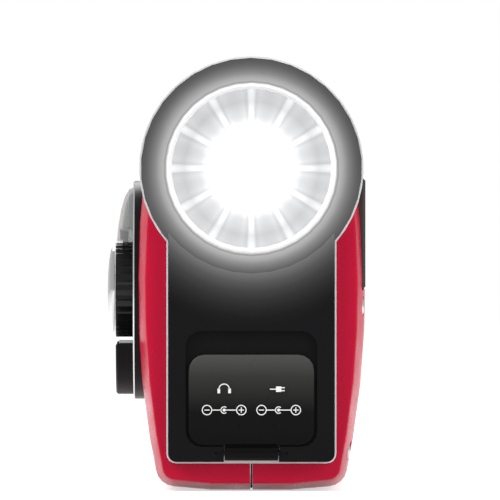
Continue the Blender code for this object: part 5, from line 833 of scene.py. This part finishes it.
@dataclass
class LampEnd(SubAssembly):
    """The black end cap with its ring, the lens stack, the port cover and the jacks."""

    lamp_axis: Point = (0.0, 0.0046, 0.0961)
    reflector_front: float = 0.0912
    reflector_radius: float = 0.0243
    throat_radius: float = 0.0046
    throat_depth: float = 0.0205
    facets: int = 12
    bands: int = 7
    symbol_radius: float = 0.00155
    symbol_line: float = 0.00028
    symbol_height: float = 0.0243
    symbol_pitch: float = 0.0051
    row_shift: float = 0.0081

    def build(self) -> None:
        """Dresses the lamp end and makes its facets and marks."""
        self.dress("end_cap", PANEL_BLACK, 0.0003)
        self.dress("lens_ring", MILKY_RIM, 0.00015)
        self.dress("lens", CLEAR)
        self.dress("lamp_led", LIT_DOME)
        self.dress("port_cover", COVER_BLACK, 0.00035)
        self.dress("cover_pin", GLOSS_BLACK)
        self.dress("phone_jack", SATIN_BLACK, 0.0002)
        self.dress("dc_jack", SATIN_BLACK, 0.0002)
        self.facet_bowl()
        self.polarity_marks()

    def facet_bowl(self) -> None:
        """The reflector as a bowl of twelve creased segments with a thin rim, in place of the plainer solid."""
        shape = bmesh.new()
        centre = Vector(self.lamp_axis)
        steps = self.facets * 2
        rings: list[list[bmesh.types.BMVert]] = []
        for inner in (False, True):
            order = range(self.bands + 1)
            for band in (order if not inner else reversed(order)):
                share = band / self.bands
                radius = self.throat_radius + (self.reflector_radius - self.throat_radius) * share ** 0.62
                depth = self.throat_depth * (1.0 - share)
                ring = []
                for step in range(steps):
                    crease = 0.0 if step % 2 else 0.00055 * math.sin(math.pi * min(share * 1.1, 1.0))
                    reach = radius - crease + (0.0 if inner else 0.0007)
                    turn = math.tau * step / steps
                    x = self.reflector_front - depth - (0.0 if inner else 0.0006 * (1 - share))
                    ring.append(shape.verts.new(Vector((x, centre.y + reach * math.cos(turn),
                                                        centre.z + reach * math.sin(turn)))))
                rings.append(ring)
        for low, high in zip(rings, rings[1:] + rings[:1]):
            for step in range(steps):
                after = (step + 1) % steps
                shape.faces.new((low[step], low[after], high[after], high[step]))
        bowl = MeshBench.finish(shape, "facet_reflector")
        self.add(bowl, "case", "reflector_silver", FACET_SILVER)
        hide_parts("reflector")

    def polarity_marks(self) -> None:
        """Two rows of the usual polarity signs under the two ports, as printed on the cover."""
        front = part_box("port_cover")[1].x
        for number, side in enumerate((-1, 1)):
            middle = self.lamp_axis[1] + side * self.row_shift
            outlines: list[list[Flat]] = []
            for sign, shift in ((-1, -self.symbol_pitch), (1, self.symbol_pitch)):
                outlines += PRINT.ring(self.symbol_radius, self.symbol_line, (shift, 0.0))
                arm, half = self.symbol_radius * 0.5, self.symbol_line / 2
                outlines.append(PRINT.bar((shift - arm, -half), (shift + arm, half)))
                if sign > 0:
                    outlines.append(PRINT.bar((shift - half, half), (shift + half, arm)))
                    outlines.append(PRINT.bar((shift - half, -arm), (shift + half, -half)))
            outlines.append(PRINT.disc(self.symbol_line * 1.6))
            outlines += self.cup_outline()
            half = self.symbol_line / 2
            outlines.append(PRINT.bar((-self.symbol_pitch + self.symbol_radius, -half),
                                      (-self.symbol_line * 3.4, half)))
            outlines.append(PRINT.bar((self.symbol_line * 1.6, -half),
                                      (self.symbol_pitch - self.symbol_radius, half)))
            marks = PRINT.shapes(f"polarity_{number + 1}", outlines, Facing.LAMP_END,
                                 (front, middle, self.symbol_height))
            self.add(marks, "port_cover", "seal_white", WHITE_PRINT)
        self.port_icons(front)

    def cup_outline(self) -> list[list[Flat]]:
        """The open ring of the middle sign, its gap to the right."""
        outlines = []
        radius, width, steps = self.symbol_radius * 0.72, self.symbol_line, 14
        start, end = math.radians(50), math.radians(310)
        for index in range(steps):
            low = start + (end - start) * index / steps
            high = start + (end - start) * (index + 1) / steps
            outlines.append([(r * math.cos(a), r * math.sin(a))
                             for r, a in ((radius, low), (radius, high), (radius - width, high),
                                          (radius - width, low))])
        return outlines

    def port_icons(self, front: float) -> None:
        """A headphone sign and a plug sign over the two rows."""
        height = self.symbol_height + 0.0062
        arch: list[list[Flat]] = []
        for index in range(12):
            low, high = math.pi * index / 12, math.pi * (index + 1) / 12
            arch.append([(r * math.cos(a), r * math.sin(a))
                         for r, a in ((0.0017, low), (0.0017, high), (0.0014, high), (0.0014, low))])
        arch.append(PRINT.bar((-0.0020, -0.0012), (-0.0012, 0.0002)))
        arch.append(PRINT.bar((0.0012, -0.0012), (0.0020, 0.0002)))
        self.add(PRINT.shapes("headphone_sign", arch, Facing.LAMP_END,
                              (front, self.lamp_axis[1] - self.row_shift,
                               height)), "port_cover", "seal_white", WHITE_PRINT)
        plug = [PRINT.bar((-0.0008, -0.0008), (0.0008, 0.0008)), PRINT.bar((-0.0026, -0.00014), (-0.0008,
                                                                                                 0.00014)),
                PRINT.bar((0.0008, 0.0003), (0.0018, 0.0006)), PRINT.bar((0.0008, -0.0006), (0.0018,
                                                                                             -0.0003))]
        self.add(PRINT.shapes("plug_sign", plug, Facing.LAMP_END,
                              (front, self.lamp_axis[1] + self.row_shift,
                               height)), "port_cover", "seal_white", WHITE_PRINT)


@dataclass
class TailAndHandle(SubAssembly):
    """The siren's head at the tail and the carrying handle."""

    def build(self) -> None:
        """Dresses the head, the handle and its soft sleeve."""
        self.dress("tail_head", GLOSS_BLACK, 0.0003)
        self.dress("siren_speaker", CONE_PAPER)
        self.dress("carry_handle", GLOSS_BLACK, 0.0003)
        self.dress("handle_grip", GRIP_RUBBER, 0.00025)


@dataclass
class TuningDial(SubAssembly):
    """The dial pod: trim, printed scale, window, pointer, knob and band lever."""

    centre: tuple[float, float] = (0.04235, 0.0594)
    sweep: float = math.radians(50)
    upper_radius: float = 0.0272
    lower_radius: float = 0.0215
    stop_angle: float = math.radians(18)
    stop_radius: float = 0.0222
    stop_number_size: float = 0.0024
    number_size: float = 0.0021

    def build(self) -> None:
        """Dresses the pod and prints its scale."""
        self.dress("dial_pod", POD_BLACK, 0.0003)
        self.dress("dial_trim", SILVER_TRIM)
        self.dress("dial_plate", DIAL_FACE)
        self.dress("dial_window", SMOKED, 0.0002)
        self.dress("dial_pointer", POINTER_RED)
        self.dress("tuning_knob", GLOSS_BLACK, 0.00012)
        self.dress("knob_cap", BRIGHT_PLATE)
        self.dress("band_selector", BRIGHT_PLATE)
        self.dress("tuning_capacitor", NYLON, 0.0003)
        self.scale("upper", self.upper_radius, ("88", "92", "96", "100", "104", "108"), 21)
        self.scale("lower", self.lower_radius, ("53", "65", "80", "100", "130", "170"), 16)
        self.band_numbers()

    def spot(self, radius: float, turn: float) -> Flat:
        """A place on the dial at a turn from straight up, clockwise for the reader."""
        return radius * math.sin(turn), radius * math.cos(turn)

    def scale(self, name: str, radius: float, numbers: Sequence[str], ticks: int) -> None:
        """One arc of the scale: a line, its ticks and its numbers.

        Args:
            name: the arc's name.
            radius: the numbers' radius.
            numbers: the numbers from left to right.
            ticks: how many ticks.
        """
        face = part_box("dial_plate")[0].y
        line = radius - self.number_size * 0.85
        outlines: list[list[Flat]] = []
        for index in range(40):
            low = self.sweep * (2 * index / 40 - 1)
            high = self.sweep * (2 * (index + 1) / 40 - 1)
            outlines.append([self.spot(r, a) for r, a in ((line, low), (line, high), (line - 0.00018, high),
                                                          (line - 0.00018, low))])
        for index in range(ticks):
            turn = self.sweep * (2 * index / (ticks - 1) - 1)
            long = 0.0013 if index % ((ticks - 1) // 5) == 0 else 0.0007
            lean = 0.00009 / line
            outlines.append([self.spot(r, a) for r, a in ((line, turn - lean), (line, turn + lean),
                                                          (line - long, turn + lean), (line - long,
                                                                                       turn - lean))])
        at = (self.centre[0], face, self.centre[1])
        self.add(PRINT.shapes(f"scale_{name}", outlines, Facing.FRONT, at), "case", "seal_white", WHITE_PRINT)
        for index, text in enumerate(numbers):
            turn = self.sweep * (2 * index / (len(numbers) - 1) - 1)
            x, z = self.spot(radius, turn)
            place = (self.centre[0] + x, face, self.centre[1] + z)
            self.add(PRINT.words(f"{name}_{text}", text, self.number_size, Facing.FRONT, place, -turn),
                     "case", "seal_white", WHITE_PRINT)

    def band_numbers(self) -> None:
        """The numbers 1 to 3 at the lever's stops, on the pod's rim below the knob."""
        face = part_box("dial_pod")[0].y
        for number in (1, 2, 3):
            turn = self.stop_angle * (number - 2)
            x = self.centre[0] - self.stop_radius * math.sin(turn)
            z = self.centre[1] - self.stop_radius * math.cos(turn)
            self.add(PRINT.words(f"band_{number}", str(number), self.stop_number_size, Facing.FRONT, (x,
                                                                                                      face, z)),
                     "case", "seal_white", WHITE_PRINT)


@dataclass
class SpeakerFront(SubAssembly):
    """The slotted grille and the speaker behind it."""

    def build(self) -> None:
        """Dresses the grille, the cone and the basket."""
        self.dress("speaker_grille", SATIN_BLACK, 0.0002)
        self.dress("speaker_cone", CONE_PAPER)
        self.dress("speaker_basket", PLAIN_STEEL)


@dataclass
class ControlColumn(SubAssembly):
    """Volume knob, alert button, lamp switch and lights, and the signs beside them."""

    centre_x: float = -0.00215
    volume_height: float = 0.070
    alert_height: float = 0.050
    switch_height: float = 0.030
    letter_size: float = 0.0026

    def build(self) -> None:
        """Dresses the controls and prints their signs."""
        self.dress("volume_knob", SATIN_BLACK, 0.00015)
        self.dress("alert_button", BUTTON_GREY, 0.0003)
        self.dress("light_switch", BUTTON_GREY, 0.0003)
        self.dress("indicator_lights", RED_LENS, 0.0002)
        self.dress("control_board", MASK_GREEN)
        self.switch_grip()
        self.alert_sign()
        self.switch_words()
        self.volume_marks()

    def wall(self, height: float) -> float:
        """The front shell's outer face at a height."""
        return CASE_MIDDLE_Y - wall_reach(height)

    def switch_grip(self) -> None:
        """Three ridges on the lamp switch."""
        low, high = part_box("light_switch")
        middle = (low + high) / 2
        shape = bmesh.new()
        for step in (-1, 0, 1):
            x = middle.x + step * 0.0015
            outline = [(x - 0.0004, low.y + 0.0002, middle.z - 0.0017), (x + 0.0004, low.y + 0.0002,
                                                                         middle.z - 0.0017),
                       (x, low.y - 0.00045, middle.z - 0.0017)]
            MeshBench.prism(shape, outline, Vector((0.0, 0.0, 0.0034)))
        self.add(MeshBench.finish(shape, "switch_ridges"), "lamp_slide", "button_grey", BUTTON_GREY)

    def alert_sign(self) -> None:
        """A warning triangle's outline on the alert button."""
        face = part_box("alert_button")[0].y
        outlines: list[list[Flat]] = []
        corners = [(0.0024 * math.sin(math.tau * i / 3),
                    0.0024 * math.cos(math.tau * i / 3) - 0.0004) for i in range(3)]
        inner = [(x * 0.72, (z + 0.0004) * 0.72 - 0.0004) for x, z in corners]
        for index in range(3):
            after = (index + 1) % 3
            outlines.append([corners[index], corners[after], inner[after], inner[index]])
        outlines.append(PRINT.bar((-0.00014, -0.0006), (0.00014, 0.0006)))
        outlines.append(PRINT.bar((-0.00014, -0.0011), (0.00014, -0.0008)))
        marks = PRINT.shapes("alert_sign", outlines, Facing.FRONT, (self.centre_x, face, self.alert_height))
        self.add(marks, "alert", "seal_white", WHITE_PRINT)

    def switch_words(self) -> None:
        """OFF and ON under the ends of the lamp switch's slot."""
        height = self.switch_height - 0.0068
        face = self.wall(height)
        for text, shift in (("OFF", -0.0052), ("ON", 0.0052)):
            words = PRINT.words(f"switch_{text.lower()}", text, self.letter_size * 0.8, Facing.FRONT,
                                (self.centre_x + shift, face, height))
            self.add(words, "case", "seal_white", WHITE_PRINT)

    def volume_marks(self) -> None:
        """Dots that grow round the volume knob."""
        outlines = []
        count = 9
        for index in range(count):
            turn = math.radians(-128 + 256 * index / (count - 1))
            if abs(math.degrees(turn)) < 40:
                continue
            outlines.append(PRINT.disc(0.00022 + 0.00004 * index, (0.0096 * math.sin(turn),
                                                                   0.0096 * math.cos(turn)), 10))
        marks = PRINT.shapes("volume_marks", outlines, Facing.FRONT,
                             (self.centre_x, self.wall(self.volume_height - 0.008) - 0.00002,
                              self.volume_height))
        self.add(marks, "case", "seal_white", WHITE_PRINT)


@dataclass
class Generator(SubAssembly):
    """The crank, its dish, the folding grip, the gear train and the dynamo."""

    crank_x: float = -0.03765
    crank_height: float = 0.050
    dish_floor: float = 0.0014
    arrow_radius: float = 0.0282
    arrow_width: float = 0.0011
    arrow_start: float = math.radians(205)
    arrow_span: float = math.radians(100)
    arrow_steps: int = 16
    head_overhang: float = 0.0009
    head_lead: float = 0.10

    def build(self) -> None:
        """Dresses the crank and the generator."""
        self.dress("crank_dish", SATIN_BLACK, 0.0002)
        self.dress("crank_arm", SATIN_BLACK, 0.0003)
        self.dress("knob_carrier", TURNED_STEEL, 0.0001)
        self.dress("crank_grip", MATT_BLACK, 0.0002)
        for node in ("drive_gear", "idler_gear"):
            self.dress(node, NYLON)
        for node in ("dynamo_rotor", "dynamo_body", "gear_frame"):
            self.dress(node, PLAIN_STEEL)
        self.turn_arrow()
        self.hub_cap()

    def turn_arrow(self) -> None:
        """A curved arrow on the dish's floor that shows which way to crank."""
        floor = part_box("crank_dish")[0].y + self.dish_floor
        outlines: list[list[Flat]] = []
        radius, width = self.arrow_radius, self.arrow_width
        for index in range(self.arrow_steps):
            start = self.arrow_start + self.arrow_span * index / self.arrow_steps
            end = self.arrow_start + self.arrow_span * (index + 1) / self.arrow_steps
            corners = ((radius, start), (radius, end), (radius - width, end), (radius - width, start))
            outlines.append([(r * math.cos(a), r * math.sin(a)) for r, a in corners])
        tip = self.arrow_start + self.arrow_span
        head = ((radius + self.head_overhang, tip), (radius - width / 2, tip + self.head_lead),
                (radius - width - self.head_overhang, tip))
        outlines.append([(r * math.cos(a), r * math.sin(a)) for r, a in head])
        marks = PRINT.shapes("turn_arrow", outlines, Facing.BACK, (self.crank_x, floor + 0.00002,
                                                                   self.crank_height))
        self.add(marks, "case", "seal_white", GREY_PRINT)

    def hub_cap(self) -> None:
        """A shallow domed button over the crank's hub."""
        _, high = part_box("crank_arm")
        profile = [(0.0, 0.0003), (0.0030, 0.00022), (0.0046, 0.0), (0.0049, -0.0004), (0.0, -0.0004)]
        cap = MeshBench.finish(MeshBench.turned(profile, Vector((self.crank_x, high.y, self.crank_height)),
                                                Vector((0.0, 1.0, 0.0)), 40),
                               "hub_button")
        self.add(cap, "crank", "black_gloss", GLOSS_BLACK)


@dataclass
class BatteryBay(SubAssembly):
    """The battery door with its grip lines, the tray, the cells and the charging pack."""

    line_count: int = 5
    line_pitch: float = 0.0014

    def build(self) -> None:
        """Dresses the bay."""
        self.dress("battery_door", SATIN_BLACK, 0.0003)
        self.dress("battery_tray", MATT_BLACK)
        self.dress("aa_cells", CELL_SLEEVE)
        self.dress("rechargeable_pack", PACK_SLEEVE)
        self.grip_lines()

    def grip_lines(self) -> None:
        """Raised lines near the door's upper edge, inside the case's outline."""
        low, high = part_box("battery_door")
        x = (low.x + high.x) / 2
        shape = bmesh.new()
        for index in range(self.line_count):
            height = low.z + 0.0085 + index * self.line_pitch
            face = CASE_MIDDLE_Y + wall_reach(height)
            outline = [(x - 0.009, face - 0.0003, height - 0.0004), (x - 0.009, face - 0.0003,
                                                                     height + 0.0004),
                       (x - 0.009, face + 0.0002, height)]
            MeshBench.prism(shape, outline, Vector((0.018, 0.0, 0.0)))
        self.add(MeshBench.finish(shape, "door_lines"), "battery_door", "black_satin", SATIN_BLACK)


@dataclass
class Antenna(SubAssembly):
    """The whip antenna, its knuckle, mount and rest."""

    def build(self) -> None:
        """Dresses the antenna and its carriers."""
        self.dress("antenna_mount", MOUNT_BLACK, 0.0003)
        self.dress("antenna_rest", GLOSS_BLACK, 0.0002)
        self.dress("antenna_knuckle", BRIGHT_PLATE, 0.00015)
        for number in (1, 2, 3):
            self.dress(f"antenna_tube_{number}", BRIGHT_PLATE)
        self.dress("antenna_tip", BRIGHT_PLATE)


@dataclass
class InnerParts(SubAssembly):
    """The board and the ferrite rod inside."""

    def build(self) -> None:
        """Dresses what the case hides."""
        self.dress("main_board", MASK_GREEN)
        self.dress("ferrite_rod", FERRITE_GREY)


@dataclass
class Studio:
    """The pale floor, the soft lights and the camera at the photograph's place."""

    distance: float = 4.000
    elevation: float = math.radians(0.6)
    target: Point = (0.0959, 0.00418, 0.0719)
    frame_width: float = 0.1485
    sensor: float = 36.0

    def build(self) -> None:
        """Makes the stage."""
        self.floor()
        self.world()
        self.light("key", (0.55, -0.75, 0.85), 0.75, 9.5)
        self.light("fill", (0.70, 0.80, 0.50), 0.70, 5.5)
        self.light("rim", (-0.85, 0.10, 0.70), 0.60, 5.0)
        self.camera()

    def floor(self) -> None:
        """A wide white floor that keeps the radio's shadow."""
        shape = bmesh.new()
        MeshBench.prism(shape, [(-3.0, -3.0, -0.002), (3.0, -3.0, -0.002), (3.0, 3.0, -0.002), (-3.0, 3.0,
                                                                                                -0.002)],
                        Vector((0.0, 0.0, 0.0019)))
        floor = MeshBench.finish(shape, "floor", smooth=False)
        sheet = NodeSheet("stage_white")
        sheet.set(Roughness=0.9, Specular_IOR_Level=0.0)
        sheet.shader.inputs["Base Color"].default_value = (0.72, 0.72, 0.72, 1.0)
        path = sheet.add("ShaderNodeLightPath")
        seen = sheet.math("MAXIMUM", path.outputs["Is Camera Ray"],
                          sheet.math("MAXIMUM", path.outputs["Is Glossy Ray"],
                                     path.outputs["Is Transmission Ray"]))
        sheet.shader.inputs["Emission Color"].default_value = (1.0, 1.0, 1.0, 1.0)
        sheet.join(sheet.math("MULTIPLY", seen, 0.62), sheet.shader.inputs["Emission Strength"])
        floor.data.materials.append(sheet.material)

    def world(self) -> None:
        """An even sky that lights the radio softly and shows white."""
        world = bpy.data.worlds.new("studio")
        bpy.context.scene.world = world
        world.use_nodes = True
        tree = world.node_tree
        background = tree.nodes["Background"]
        path = tree.nodes.new("ShaderNodeLightPath")
        seen = tree.nodes.new("ShaderNodeMath")
        seen.operation = "MAXIMUM"
        tree.links.new(path.outputs["Is Camera Ray"], seen.inputs[0])
        tree.links.new(path.outputs["Is Transmission Ray"], seen.inputs[1])
        level = tree.nodes.new("ShaderNodeMapRange")
        level.inputs["To Min"].default_value = 0.62
        level.inputs["To Max"].default_value = 1.0
        tree.links.new(seen.outputs[0], level.inputs["Value"])
        tree.links.new(level.outputs["Result"], background.inputs["Strength"])
        background.inputs["Color"].default_value = (1.0, 1.0, 1.0, 1.0)

    def light(self, name: str, place: Point, size: float, power: float) -> None:
        """A soft square lamp that looks at the radio.

        Args:
            name: the lamp's name.
            place: where it hangs.
            size: its side.
            power: its power in watts.
        """
        data = bpy.data.lights.new(name, "AREA")
        data.shape = "SQUARE"
        data.size = size
        data.energy = power
        lamp = bpy.data.objects.new(name, data)
        lamp.location = place
        lamp.rotation_mode = "QUATERNION"
        lamp.rotation_quaternion = (Vector((0.0, 0.0, 0.065)) - Vector(place)).to_track_quat("-Z", "Y")
        bpy.context.scene.collection.objects.link(lamp)

    def camera(self) -> None:
        """A long lens that looks at the lamp end from just above level."""
        data = bpy.data.cameras.new("camera")
        data.sensor_width = self.sensor
        data.lens = self.sensor * self.distance / self.frame_width
        data.clip_start, data.clip_end = 0.01, 20.0
        camera = bpy.data.objects.new("camera", data)
        back = Vector((math.cos(self.elevation), 0.0, math.sin(self.elevation)))
        camera.location = Vector(self.target) + back * self.distance
        camera.rotation_mode = "QUATERNION"
        camera.rotation_quaternion = (-back).to_track_quat("-Z", "Y")
        bpy.context.scene.collection.objects.link(camera)
        bpy.context.scene.camera = camera


def main() -> None:
    """Builds the groups in order, then the studio."""
    logging.basicConfig(level=logging.INFO, format="%(message)s")
    bpy.context.scene.view_settings.view_transform = "Standard"
    groups: tuple[SubAssembly, ...] = (CaseShells(), LampEnd(), TailAndHandle(), TuningDial(), SpeakerFront(),
                                       ControlColumn(), Generator(), BatteryBay(), Antenna(), InnerParts())
    for group in groups:
        group.build()
        group.report()
    Studio().build()


if __name__ == "__main__":
    main()
